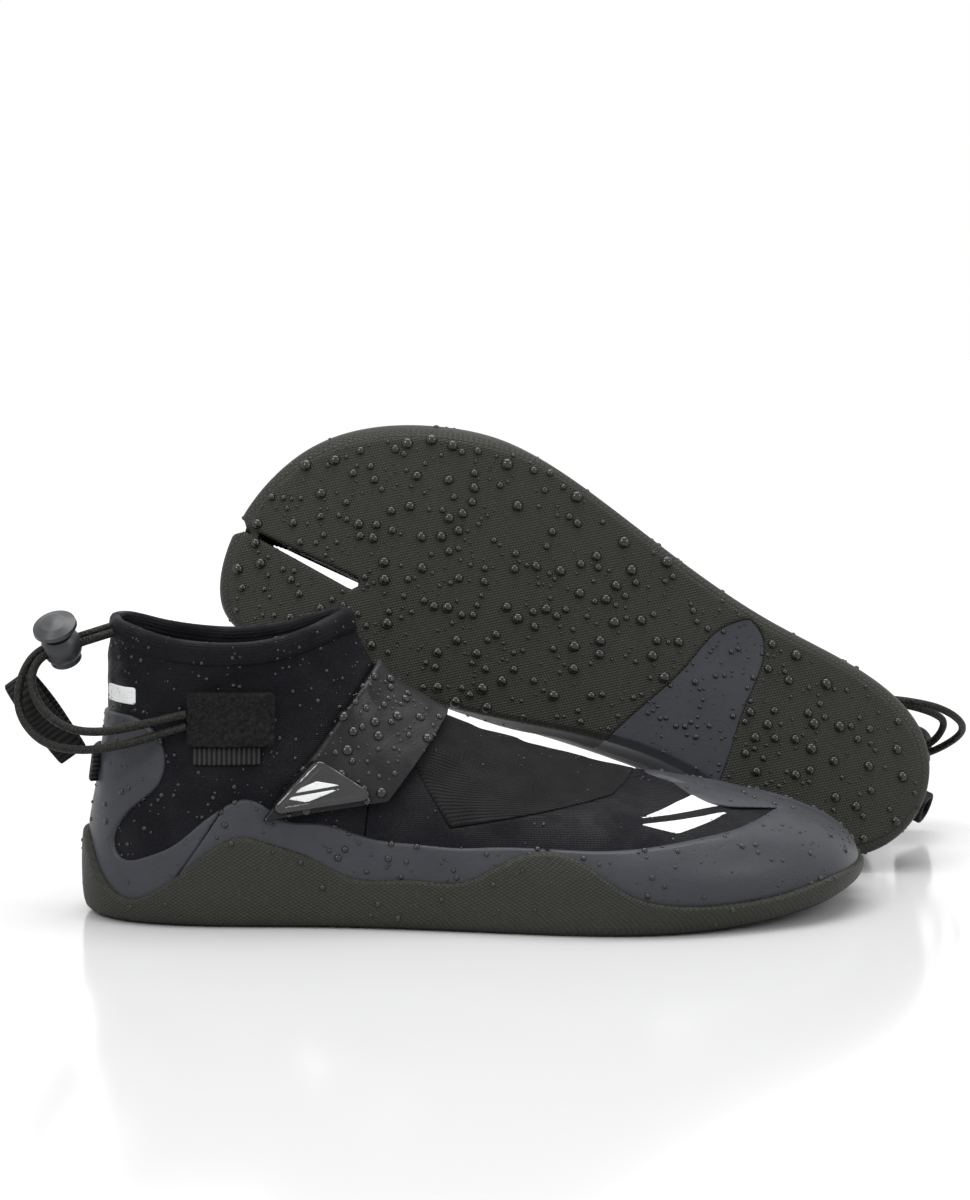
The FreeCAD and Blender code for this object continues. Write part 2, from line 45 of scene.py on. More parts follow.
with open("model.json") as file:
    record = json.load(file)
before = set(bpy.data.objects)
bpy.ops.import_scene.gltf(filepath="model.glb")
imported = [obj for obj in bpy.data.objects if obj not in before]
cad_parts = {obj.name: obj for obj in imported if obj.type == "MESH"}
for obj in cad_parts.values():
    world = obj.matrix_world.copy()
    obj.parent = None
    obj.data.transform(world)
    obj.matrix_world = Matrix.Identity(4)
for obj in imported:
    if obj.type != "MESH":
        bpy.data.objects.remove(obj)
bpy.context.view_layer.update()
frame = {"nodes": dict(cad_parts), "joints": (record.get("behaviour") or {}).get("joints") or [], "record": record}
MM = 0.001
SIDES = ("right", "left")

# Layers of the wall, as depths below the outside of the outsole's wall.
OUTSOLE_FACE = 0.0
ARCH_FACE = 0.8
RAND_FACE = 2.0
NEOPRENE_FACE = 3.2
CAVITY_FACE = 6.2
COUNTER_FACE = 7.4
STRAP_FACE = 0.0
STRAP_BACK_FACE = 1.5
LOOP_PATCH_FACE = 2.5
HOOK_PATCH_FACE = 2.1
BADGE_FACE = -2.0

OUTSOLE_THICK = 4.0
FOOTBED_TOP = 9.0
TREAD_EDGE_RADIUS = 3.0
FLAT_END_X = 200.0
TOE_SPRING_RADIUS = 344.0
RIDGE_Y = 5.0
COLLAR_BAND = 8.0

SLIT_Y = 21.7
SLIT_END_X = 229.5
SLIT_RADIUS = 2.4
SLIT_MOUTH = 0.8
SLIT_WALL = 5.0

LEFT_LEAN = 9.0
LEFT_TOE_RAISE = 27.0
STRAP_HINGE_START = (106.5, 5.0, 89.5)
TREAD_MOUNT = (100.0, 0.0, 0.0)

STATIONS = [0.035, 0.12, 0.30, 0.45, 0.60, 0.73, 0.83, 0.91, 0.965]

# Levels of the outer surface: height, heel x, nose x, nose y, outer and inner half-widths.
LEVELS = [
    (-4, 5.0, 258.0, 26, [17, 29, 33, 37, 45, 48, 42, 30, 15], [17, 28, 26, 29, 40, 48, 53, 53, 49]),
    (4, 0.8, 272.0, 28, [23, 34, 37, 42, 49.5, 52, 45, 32.5, 15.5], [23, 33, 29, 33, 44, 52, 57, 57.5, 53]),
    (12, 0.0, 278.4, 29,
     [23.5, 35, 37.5, 42.5, 50, 53, 45.5, 32.5, 15.5], [23.5, 34, 31, 35, 45, 52, 57.5, 58, 53]),
    (20, 0.0, 277.6, 28,
     [23.5, 35, 37.5, 42, 49.5, 52.5, 45, 32, 15], [23.5, 34, 34, 38, 45.5, 52, 57, 57, 52]),
    (28, 0.6, 271.0, 26, [23, 34.8, 37, 41, 47, 49, 42.5, 31, 14.5], [23, 34, 35, 39, 45.5, 51, 55, 54, 48]),
    (35, 1.4, 258.0, 22, [22, 34, 36, 38.5, 43, 44, 38, 27, 12], [22, 33.5, 35, 38, 43.5, 48, 50, 47, 40]),
    (42, 2.6, 237.0, 16,
     [21, 33, 35, 35.5, 36.5, 34, 27, 17, 6], [21, 32.5, 34.5, 36, 38.5, 39.5, 38, 33.5, 26]),
    (50, 3.8, 201.0, 9,
     [19, 31, 34.5, 34, 31, 26, 19.5, 12.5, 5.5], [19, 31, 34, 34, 32.5, 30, 26.5, 21.5, 15.5]),
    (60, 5.2, 164.0, 5,
     [16.5, 28, 33, 32.5, 29, 24, 18.5, 12.5, 7], [16.5, 28, 33, 32.5, 30, 26.5, 22.5, 17.5, 12]),
    (70, 6.4, 132.0, 2,
     [14.5, 25, 31.5, 31.5, 28.5, 24, 19, 13.5, 8], [14.5, 25, 31.5, 31.5, 29.5, 25.5, 21, 16, 10.5]),
    (84, 7.2, 110.0, 0,
     [12.5, 22, 30, 31.5, 30, 26, 21, 15.5, 9.5], [12.5, 22, 30, 31.5, 30, 26, 21, 15.5, 9.5]),
    (98, 7.6, 101.0, 0,
     [12, 21, 29.5, 32, 31.5, 28, 23.5, 17.5, 11], [12, 21, 29.5, 32, 31.5, 28, 23.5, 17.5, 11]),
    (112, 7.6, 97.0, 0,
     [12, 21, 29.5, 32.5, 32, 29, 24.5, 18.5, 12], [12, 21, 29.5, 32.5, 32, 29, 24.5, 18.5, 12]),
]

# Side-view outlines, (x, z).
COLLAR_LINE = [(-20, 105.5), (8, 105), (25, 101), (52, 98), (78, 101), (97, 107), (125, 109)]
OUTSOLE_EDGE = [(-20, 34), (-1, 32), (4, 23.5), (9, 14.5), (17, 9.3), (27, 12), (40, 21.5), (52, 30),
                (58, 32), (65, 30.5), (83, 24.5), (96, 18.2), (118, 17.8), (134, 17.5), (148, 24),
                (158, 28), (170, 28), (180, 23), (191, 15.5), (208, 11), (228, 10.6), (247, 12.3),
                (266, 15.6), (290, 15)]
HEEL_CAP_EDGE = [(-20, 71), (7, 71.5), (20, 71.5), (29, 66), (32.3, 57), (29.5, 48.5), (21, 41),
                 (15, 34), (13, 28), (15.5, 23), (25, 24), (35, 28.5), (45, 36.5), (53, 41.8)]
RAND_SEAM = [(53, 41.8), (36.5, 18), (33, -10)]
RAND_EDGE = [(53, 41.8), (60, 44.2), (66, 42.6), (73, 37.5), (86, 36), (104, 31.2), (118, 29.8),
             (133, 28.8), (148, 29.4), (164, 29.2)]
TOE_EDGE_OUTER = [(164.6, 29.2), (190, 29), (212, 31), (234, 33.6), (248, 35.6)]
TOE_EDGE_TOP = [(248, 35.6), (236, 37.4), (224, 39.7), (215, 44), (207.5, 49.5), (204, 60)]
TOE_EDGE_INNER = [(164.6, 29.2), (178, 31.5), (190, 36.5), (200, 43.5), (206, 49.5), (209, 60)]
INSTEP_PANEL = [(114, 130), (112, 66), (131, 35), (160, 39.5), (188, 43.5), (203, 52), (208, 130)]
ANKLE_SEAM = [(96, -10), (103, 44), (124, 130)]
STRAP_OUTLINE = [(66, 37), (87, 62), (106, 88), (112, 130), (142, 130), (130, 70), (121, 58), (110, 44)]
STRAP_INNER_OUTLINE = [(76, 47), (87, 62), (106, 88), (112, 130), (142, 130), (130, 70), (121, 58), (112, 47)]
PATCH_OUTLINE = [(76, 49.5), (103, 49.5), (116, 66), (92, 66)]
BADGE_OUTLINE = [(66.5, 39), (106.5, 45.5), (85.5, 58.5)]

# Plan outlines, (x, y).
ARCH_FRONT = [(90, -34), (97, -27), (103, -8), (112, 16), (126, 60)]
ARCH_REAR = [(72, 60), (74, 16), (77, -4), (84, -31), (90, -34)]
ARCH_TOP = 26.0

LOOP_ROOT = np.array([-1.2, -4.0, 54.0])
LOOP_REACH = {"right": (-0.58, 0.0, 0.815), "left": (-0.20, 0.0, 0.98)}
LOOP_LENGTH = 34.0
LOOP_BULGE = 4.6
WEBBING_WIDTH = 11.0
WEBBING_THICK = 1.5

CORD_DIAMETER = 3.0
CORD_APART = 1.7
SPRING_FOOT = -5.3
SPRING_HEIGHT = 2.4
SPRING_WIRE = 0.3
SPRING_RADIUS = 3.2
SPRING_TURNS = 2
LOCKS = {
    "right": {"centre": (-5.0, -10.5, 95.0), "along": (-0.95, -0.12, -0.29), "press": (0.42, -0.38, 0.82)},
    "left": {"centre": (1.0, -23.0, 96.0), "along": (-0.72, -0.66, -0.22), "press": (0.30, -0.30, 0.90)},
}
CORD_ROUTES = {
    "right": {
        "upper": [(-19.0, -13.5, 85.0), (-20.0, -17.5, 72.5), (-11.0, -23.5, 62.5), (3.0, -29.0, 60.5),
                  (17.5, -31.8, 62.9), (29.0, -31.4, 66.2), (40.0, -29.8, 69.4)],
        "lower": [(-15.5, -17.5, 83.0), (-10.5, -22.5, 73.5), (-0.5, -26.5, 67.5), (11.5, -30.0, 67.2),
                  (26.0, -31.6, 70.4), (40.0, -29.8, 73.6)],
    },
    "left": {
        "upper": [(-11.5, -37.5, 84.0), (-8.0, -41.5, 73.0), (3.0, -42.0, 65.0), (16.0, -38.5, 63.8),
                  (28.5, -33.5, 66.0), (40.0, -29.8, 69.4)],
        "lower": [(-3.5, -39.0, 81.5), (4.0, -39.5, 73.0), (15.5, -37.0, 69.2), (28.0, -33.0, 70.4),
                  (40.0, -29.8, 73.6)],
    },
}


# ---- Where each boot stands --------------------------------------------------------------

def left_turn():
    """Rotation of the mirrored boot: sole forward, leaning back, toes raised."""
    lean = math.radians(LEFT_LEAN)
    rise = math.radians(LEFT_TOE_RAISE)
    up_the_sole = np.array([0, math.sin(lean), math.cos(lean)])
    long_way = np.array([-math.cos(rise), 0, 0]) + up_the_sole * math.sin(rise)
    inwards = np.array([0, math.cos(lean), -math.sin(lean)])
    across = np.cross(inwards, long_way)
    return np.column_stack([long_way, across, inwards])


def boot_frames():
    """Rotation and origin of each boot in the frame, read from its mount or its strap's hinge."""
    mount = next(m for m in frame["record"]["mounts"] if m["name"] == "right_tread")
    right_origin = np.array(mount["pos_m"]) / MM - np.array(TREAD_MOUNT)
    hinge = next(j for j in frame["joints"] if j["name"] == "left_strap_peel")
    mirror = np.diag([1.0, -1.0, 1.0])
    turn = left_turn() @ mirror
    left_origin = np.array(hinge["pos_m"]) / MM - turn @ np.array(STRAP_HINGE_START)
    return {"right": (np.eye(3), right_origin), "left": (turn, left_origin)}


BOOTS = boot_frames()


def place(side, points):
    """Boot-frame millimetres to the frame's metres."""
    turn, origin = BOOTS[side]
    return (np.asarray(points, float) @ turn.T + origin) * MM


def unit(vector):
    vector = np.asarray(vector, float)
    return vector / np.linalg.norm(vector)


# ---- Smooth curves and the boot's surface ---------------------------------------------------

def spline_weights(knots, at, period=None):
    """Matrix that turns values at the knots into a smooth curve's values at other places."""
    knots = np.asarray(knots, float)
    at = np.asarray(at, float)
    n = len(knots)
    left = np.zeros((n, n))
    right = np.zeros((n, n))
    if period is None:
        gaps = np.diff(knots)
        left[0, 0] = left[-1, -1] = 1
        inner = range(1, n - 1)
    else:
        gaps = np.diff(np.append(knots, knots[0] + period))
        inner = range(n)
    for i in inner:
        a, b, h, k = (i - 1) % n, (i + 1) % n, gaps[i - 1], gaps[i]
        left[i, a] += h / 6
        left[i, i] += (h + k) / 3
        left[i, b] += k / 6
        right[i, a] += 1 / h
        right[i, i] -= 1 / h + 1 / k
        right[i, b] += 1 / k
    bend = np.linalg.solve(left, right)
    if period is not None:
        at = knots[0] + (at - knots[0]) % period
    span = np.clip(np.searchsorted(knots, at, side="right") - 1, 0, len(gaps) - 1)
    ahead = (span + 1) % n
    width = gaps[span]
    far = (at - knots[span]) / width
    near = 1 - far
    weights = np.zeros((len(at), n))
    rows = np.arange(len(at))
    weights[rows, span] += near
    weights[rows, ahead] += far
    near_bend = (near ** 3 - near) * width ** 2 / 6
    far_bend = (far ** 3 - far) * width ** 2 / 6
    return weights + near_bend[:, None] * bend[span] + far_bend[:, None] * bend[ahead]


def smooth_line(points, step=1.5):
    """Evenly sampled smooth curve through the points."""
    points = np.asarray(points, float)
    along = np.concatenate([[0], np.cumsum(np.linalg.norm(np.diff(points, axis=0), axis=1))])
    at = np.linspace(0, along[-1], max(8, int(along[-1] / step)))
    return spline_weights(along, at) @ points


def tangents(heights, values):
    """Slope of a column of the level table, level wherever it turns back."""
    slopes = np.diff(values) / np.diff(heights)
    before, after = slopes[:-1], slopes[1:]
    product = before * after
    middle = np.where(product > 0, 2 * product / np.where(before + after == 0, 1, before + after), 0)
    return np.concatenate([[slopes[0]], middle, [slopes[-1]]])


def level_points(depth):
    """Outline points of every level, moved inwards by a depth."""
    heights = np.array([level[0] for level in LEVELS], float)
    noses = np.array([level[2] for level in LEVELS], float)
    nose_stretch = np.sqrt(1 + tangents(heights, noses) ** 2)
    heels = np.array([level[1] for level in LEVELS], float) + depth
    fronts = noses - depth * nose_stretch
    fractions = np.array(STATIONS)
    sides = []
    for place_in_row, sign in ((4, -1), (5, 1)):
        widths = np.array([level[place_in_row] for level in LEVELS], float)
        stretches = np.sqrt(1 + np.array([tangents(heights, column) for column in widths.T]).T ** 2)
        widest = widths.argmax(axis=1)
        rows = np.arange(len(LEVELS))
        shrink = 1 - depth * stretches[rows, widest] / widths[rows, widest]
        nose_y = np.array([level[3] for level in LEVELS], float)
        centre = nose_y[:, None] * np.maximum(0, (fractions - 0.6) / 0.4) ** 2
        half = (widths - sign * centre) * shrink[:, None]
        x = heels[:, None] + fractions * (fronts - heels)[:, None]
        z = np.repeat(heights[:, None], len(fractions), axis=1)
        sides.append(np.stack([x, centre + sign * half, z], axis=2))
    heel = np.stack([heels, np.zeros(len(heels)), heights], axis=1)[:, None]
    nose = np.stack([fronts, [level[3] for level in LEVELS], heights], axis=1)[:, None]
    return np.concatenate([heel, sides[0], nose, sides[1][:, ::-1]], axis=1)


COLUMNS = 380
ROWS = 176


def wall_grid():
    """The boot's outside on a fine grid, and how each point moves for one millimetre of depth."""
    outside = level_points(0.0)
    inwards = level_points(1.0) - outside
    around = np.linalg.norm(np.roll(outside, -1, axis=1) - outside, axis=2).mean(axis=0)
    knots = np.concatenate([[0], np.cumsum(around[:-1])])
    total = around.sum()
    nose = knots[len(STATIONS) + 1]
    half = COLUMNS // 2
    at = np.concatenate([np.linspace(0, nose, half, endpoint=False),
                         np.linspace(nose, total, half, endpoint=False)])
    across = spline_weights(knots, at, total)
    steps = np.linalg.norm(np.diff(outside, axis=0), axis=2)
    climb = np.concatenate([[0], np.cumsum(0.5 * steps.mean(axis=1) + 0.5 * steps.max(axis=1))])
    rows = spline_weights(climb, np.linspace(0, climb[-1], ROWS))
    base = np.einsum("rl,lkc,nk->rnc", rows, outside, across)
    inward = np.einsum("rl,lkc,nk->rnc", rows, inwards, across)
    return base, inward, at


def waves(points, seed, wavelengths, count=9):
    """Soft random relief between about -1 and 1."""
    rng = np.random.default_rng(seed)
    total = np.zeros(len(points))
    for _ in range(count):
        direction = unit(rng.normal(size=3))
        wavelength = rng.uniform(*wavelengths)
        phase = rng.uniform(0, 2 * math.pi)
        total += np.sin(points @ direction * (2 * math.pi / wavelength) + phase)
    return total / math.sqrt(count)


def bump_at(points, centre, along, length, width):
    """1 on a short line in space, falling off to 0 across its width and past its ends."""
    away = points - np.array(centre, float)
    way = unit(along)
    run = away @ way
    off = np.linalg.norm(away - run[:, None] * way, axis=1)
    return np.exp(-(off / width) ** 2) * np.exp(-(run / length) ** 4)


def smooth_step(low, high, values):
    share = np.clip((values - low) / (high - low), 0, 1)
    return share * share * (3 - 2 * share)


def worn_relief(points):
    """How far the wall stands out from its plain shape: soft swells and a few folds."""
    high = smooth_step(36, 60, points[:, 2])
    relief = waves(points, 3, (16, 40)) * (0.14 + 0.34 * high)
    relief += waves(points, 8, (6, 13)) * (0.05 + 0.10 * high)
    for centre, along, length, width, height in FOLDS:
        relief += height * bump_at(points, centre, along, length, width)
    return relief


# Folds in the neoprene: middle, direction, half-length, width and height.
FOLDS = [
    ((88, -30, 47), (1, 0, 0.55), 12, 4.0, 0.7),
    ((134, -38, 33), (1, 0, -0.25), 14, 3.0, 0.5),
    ((160, -38, 37), (1, 0, 0.15), 11, 2.6, 0.7),
    ((176, -32, 39), (1, 0, 0.3), 12, 2.4, -0.5),
    ((63, -33, 52), (0.5, 0, 1), 12, 3.6, -0.5),
    ((52, -33, 50), (0.3, 0, 1), 10, 3.2, 0.5),
    ((30, -31, 78), (1, 0, -0.2), 11, 4.0, 0.5),
    ((64, -32, 86), (1, 0, 0.35), 16, 3.6, -0.6),
    ((60, -32, 91), (1, 0, 0.2), 18, 3.0, 0.5),
    ((98, 31, 50), (1, 0, 0.4), 15, 4.0, 0.6),
    ((70, 32, 60), (1, 0, -0.4), 15, 4.0, -0.5),
]

WALL, WALL_IN, AROUND = wall_grid()


def relax_wall():
    """The wall's grid with its swells and folds, which fade out towards the sole."""
    flat = WALL.reshape(-1, 3)
    outward = -WALL_IN.reshape(-1, 3)
    fade = smooth_step(18, 34, flat[:, 2])
    return (flat + outward * (worn_relief(flat) * fade)[:, None]).reshape(WALL.shape)


WALL = relax_wall()


def grid_triangles(rows, columns, closed=True):
    """Triangles of a grid whose columns may close up."""
    r = np.arange(rows - 1)[:, None]
    c = np.arange(columns if closed else columns - 1)[None]
    a = r * columns + c
    b = r * columns + (c + 1) % columns
    up = columns
    first = np.stack([a, b, b + up], axis=2).reshape(-1, 3)
    second = np.stack([a, b + up, a + up], axis=2).reshape(-1, 3)
    return np.concatenate([first, second])


def make_grid(base, inward, floor_share, weave, triangles):
    """Point table: place, move per millimetre of depth, share of floor and weave coordinates."""
    data = np.column_stack([base.reshape(-1, 3), inward.reshape(-1, 3), floor_share, weave])
    return data, triangles


def wall_mesh():
    """The boot's whole outside as one surface to cut panels from."""
    weave = np.column_stack([np.tile(AROUND, ROWS), WALL[:, :, 2].ravel()])
    return make_grid(WALL, WALL_IN, np.zeros(ROWS * COLUMNS), weave, grid_triangles(ROWS, COLUMNS))


def toe_spring(x):
    ahead = np.maximum(0, x - FLAT_END_X)
    return TOE_SPRING_RADIUS - np.sqrt(TOE_SPRING_RADIUS ** 2 - ahead ** 2)


def on_columns(level_of, target):
    """The wall's points and directions where a value of (x, z) reaches a target on each column."""
    values = level_of(WALL[:, :, 0], WALL[:, :, 2])
    base = np.empty((COLUMNS, 3))
    inward = np.empty((COLUMNS, 3))
    for c in range(COLUMNS):
        climb = np.maximum.accumulate(values[:, c])
        for k in range(3):
            base[c, k] = np.interp(target, climb, WALL[:, c, k])
            inward[c, k] = np.interp(target, climb, WALL_IN[:, c, k])
    return base, inward


def floor_fill(loop, across):
    """Grid between the outer and the inner half of a closed loop."""
    half = COLUMNS // 2
    outer = loop[: half + 1]
    inner = loop[[-i % COLUMNS for i in range(half + 1)]]
    share = np.linspace(0, 1, across)[:, None, None]
    return outer[None] * (1 - share) + inner[None] * share


def sole_mesh():
    """The outsole's wall and tread in one, with a rounded lower edge."""
    radius = TREAD_EDGE_RADIUS
    above_tread = lambda x, z: z - toe_spring(x)
    heights = np.concatenate([np.linspace(0, radius, 5), np.arange(radius + 1.5, 40, 1.5)])
    bases, inwards, weaves = [], [], []
    up = np.array([0, 0, 1.0])
    for height in heights[::-1]:
        base, inward = on_columns(above_tread, height)
        flat = inward / np.linalg.norm(inward, axis=1)[:, None]
        angle = math.pi / 4 * max(0.0, 1 - height / radius)
        if height < radius:
            base = base + flat * radius * (1 - math.cos(angle))
            base[:, 2] += radius * (1 - math.sin(angle)) - height
            inward = flat * math.cos(angle) + up * math.sin(angle)
        bases.append(base)
        inwards.append(inward)
        weaves.append(np.column_stack([AROUND, base[:, 2]]))
    floor_loop, floor_in = on_columns(above_tread, 0.0)
    flat = floor_in / np.linalg.norm(floor_in, axis=1)[:, None]
    flat[:, 2] = 0
    for inset in (0.75, 1.5, 2.25, 3.0, 5.0, 7.5):
        angle = math.pi / 4 * max(0.0, 1 - inset / radius)
        reach = radius * (1 - math.sin(angle)) if inset < radius else inset
        rise = radius * (1 - math.cos(angle))
        base = floor_loop + flat * reach
        base[:, 2] = toe_spring(base[:, 0]) + rise
        bases.append(base)
        inwards.append(up * math.cos(angle) + flat * math.sin(angle))
        weaves.append(base[:, :2])
    rings = len(bases)
    wall_rows = len(heights)
    share = np.concatenate([np.zeros(wall_rows), np.ones(rings - wall_rows)])
    across = 44
    fill = floor_fill(bases[-1], across)
    fill[:, :, 2] = toe_spring(fill[:, :, 0])
    half = COLUMNS // 2
    base = np.concatenate([np.array(bases).reshape(-1, 3), fill.reshape(-1, 3)])
    inward = np.concatenate([np.array(inwards).reshape(-1, 3), np.tile(up, (across * (half + 1), 1))])
    floor_share = np.concatenate([np.repeat(share, COLUMNS), np.ones(across * (half + 1))])
    weave = np.concatenate([np.array(weaves).reshape(-1, 2), fill.reshape(-1, 3)[:, :2]])
    ring_tris = grid_triangles(rings, COLUMNS)[:, ::-1]
    fill_tris = grid_triangles(across, half + 1, closed=False)[:, ::-1] + rings * COLUMNS
    table, triangles = make_grid(base, inward, floor_share, weave, np.concatenate([ring_tris, fill_tris]))
    return welded(table, triangles)


def welded(data, triangles):
    """Joins points that coincide and drops triangles that have no area."""
    keys = np.round(data[:, :3] * 200).astype(np.int64)
    _, first, back = np.unique(keys, axis=0, return_index=True, return_inverse=True)
    triangles = back.reshape(-1)[triangles]
    sound = ((triangles[:, 0] != triangles[:, 1]) & (triangles[:, 1] != triangles[:, 2])
             & (triangles[:, 2] != triangles[:, 0]))
    return data[first], triangles[sound]


# ---- Regions ------------------------------------------------------------------------------

def polygon_distance(points, polygon):
    """Distance to a closed outline, positive inside it."""
    start = np.asarray(polygon, float)
    end = np.roll(start, -1, axis=0)
    edge = end - start
    length = np.maximum((edge ** 2).sum(axis=1), 1e-12)
    result = np.empty(len(points))
    for low in range(0, len(points), 8000):
        p = points[low: low + 8000]
        away = p[:, None] - start[None]
        share = np.clip((away * edge[None]).sum(axis=2) / length, 0, 1)
        nearest = away - share[:, :, None] * edge[None]
        distance = np.sqrt((nearest ** 2).sum(axis=2).min(axis=1))
        spans = (start[None, :, 1] > p[:, None, 1]) != (end[None, :, 1] > p[:, None, 1])
        rise = np.where(edge[:, 1] == 0, 1e-12, edge[:, 1])
        cross_x = start[:, 0] + (p[:, None, 1] - start[:, 1]) * edge[:, 0] / rise
        odd = (spans & (p[:, None, 0] < cross_x)).sum(axis=1) % 2 == 1
        result[low: low + 8000] = np.where(odd, distance, -distance)
    return result


def outline(curves, corners=()):
    """Closed outline of smooth curves in a row, closed by straight lines over corners."""
    return np.concatenate([smooth_line(points) for points in curves] + [np.array(corners).reshape(-1, 2)])


def side_region(curves, corners=()):
    shape = outline(curves, corners)
    return lambda points: polygon_distance(points[:, [0, 2]], shape)


def side_polygon(corners, round_by=0.0):
    shape = np.array(corners, float)
    return lambda points: polygon_distance(points[:, [0, 2]], shape) + round_by


def plan_region(curves):
    shape = outline(curves)
    return lambda points: polygon_distance(points[:, [0, 1]], shape)


def slit_outline(margin):
    """Plan outline of the gap between the toes."""
    inner = SLIT_RADIUS + margin
    mouth = SLIT_MOUTH + margin
    angles = np.linspace(1.5 * math.pi, 0.5 * math.pi, 17)
    end = np.column_stack([SLIT_END_X + inner * np.cos(angles), SLIT_Y + inner * np.sin(angles)])
    far = [(272, SLIT_Y + mouth), (276, SLIT_Y + mouth), (284, SLIT_Y + mouth + 6)]
    near = [(284, SLIT_Y - mouth - 6), (276, SLIT_Y - mouth), (272, SLIT_Y - mouth)]
    return np.concatenate([end, far, near])


def outside_slit(margin=0.0):
    shape = slit_outline(margin)
    return lambda points: -polygon_distance(points[:, [0, 1]], shape)


BELOW_OUTSOLE_EDGE = side_region([OUTSOLE_EDGE], [(290, -60), (-20, -60)])
COLLAR_OVERLAP = 1.5
COLLAR_FOOT = [(x, z - COLLAR_BAND + COLLAR_OVERLAP) for x, z in COLLAR_LINE]
UNDER_COLLAR = side_region([COLLAR_FOOT], [(300, 100), (300, -60), (-20, -60)])
HEEL_ZONE = side_region([HEEL_CAP_EDGE], RAND_SEAM[1:] + [(-20, -10)])
RAND_ZONE = side_region([RAND_EDGE], [(164, -10)] + RAND_SEAM[:0:-1])
TOE_CORNERS = [(300, 60), (300, -10), (164.3, -10)]
TOE_OUTER_ZONE = side_region([TOE_EDGE_OUTER, TOE_EDGE_TOP], TOE_CORNERS)
TOE_INNER_ZONE = side_region([TOE_EDGE_INNER], TOE_CORNERS)
INSTEP_ZONE = side_polygon(INSTEP_PANEL)
ANKLE_ZONE = side_polygon(ANKLE_SEAM + [(-20, 130), (-20, -10)])
OUTSIDE_SLIT = outside_slit()
ARCH_PLAN = plan_region([ARCH_FRONT, ARCH_REAR])


def arch_zone(points):
    return np.minimum(ARCH_PLAN(points), ARCH_TOP - points[:, 2])


def toe_zone(points):
    """The toe cap's edge differs on the two sides of the ridge and meets on it."""
    share = smooth_step(RIDGE_Y - 3, RIDGE_Y + 3, points[:, 1])
    edge = (1 - share) * TOE_OUTER_ZONE(points) + share * TOE_INNER_ZONE(points)
    return np.minimum(edge, OUTSIDE_SLIT(points))


def above_floor(points):
    return points[:, 2] - toe_spring(points[:, 0]) - OUTSOLE_THICK


def outer_half(points):
    return -points[:, 1]


def inner_half(points):
    return points[:, 1]


def both(*zones):
    return lambda points: np.minimum.reduce([zone(points) for zone in zones])


def without(zone):
    return lambda points: -zone(points)


# ---- Cutting panels out of a surface ---------------------------------------------------------

def sliced(data, triangles, level, keep_outside):
    """Cuts triangles where the last column passes a level."""
    value = data[:, -1] - level
    inside = value >= 0
    pairs = np.concatenate([triangles[:, [0, 1]], triangles[:, [1, 2]], triangles[:, [2, 0]]])
    pairs = np.sort(pairs, axis=1)
    crossing = inside[pairs[:, 0]] != inside[pairs[:, 1]]
    count = len(data)
    keys = np.unique(pairs[crossing, 0] * count + pairs[crossing, 1])
    a, b = keys // count, keys % count
    share = value[a] / (value[a] - value[b])
    data = np.concatenate([data, data[a] + share[:, None] * (data[b] - data[a])])

    def cut_point(one, other):
        low, high = np.minimum(one, other), np.maximum(one, other)
        return count + np.searchsorted(keys, low * count + high)

    number = inside[triangles].sum(axis=1)
    kept = [triangles[number == 3]]
    if keep_outside:
        kept.append(triangles[number == 0])
    for inside_count in (1, 2):
        mixed = triangles[number == inside_count]
        odd_one = inside[mixed] == (inside_count == 1)
        start = odd_one.argmax(axis=1)
        rows = np.arange(len(mixed))
        o, p, q = (mixed[rows, (start + k) % 3] for k in range(3))
        op, oq = cut_point(o, p), cut_point(o, q)
        tip = [np.stack([o, op, oq], axis=1)]
        rest = [np.stack([op, p, q], axis=1), np.stack([op, q, oq], axis=1)]
        if keep_outside:
            kept += tip + rest
        else:
            kept += tip if inside_count == 1 else rest
    return data, np.concatenate(kept)


def used_only(data, triangles):
    used, back = np.unique(triangles, return_inverse=True)
    return data[used], back.reshape(triangles.shape)


def edge_loops(triangles):
    """Directed edges that belong to one triangle only."""
    edges = np.concatenate([triangles[:, [0, 1]], triangles[:, [1, 2]], triangles[:, [2, 0]]])
    count = edges.max() + 1
    forward = edges[:, 0] * count + edges[:, 1]
    reverse = edges[:, 1] * count + edges[:, 0]
    return edges[~np.isin(forward, reverse)]


class Shape:
    """A closed mesh in one boot's frame, with its weave coordinates."""

    def __init__(self, points, triangles, weave):
        self.points = points
        self.triangles = triangles
        self.weave = weave


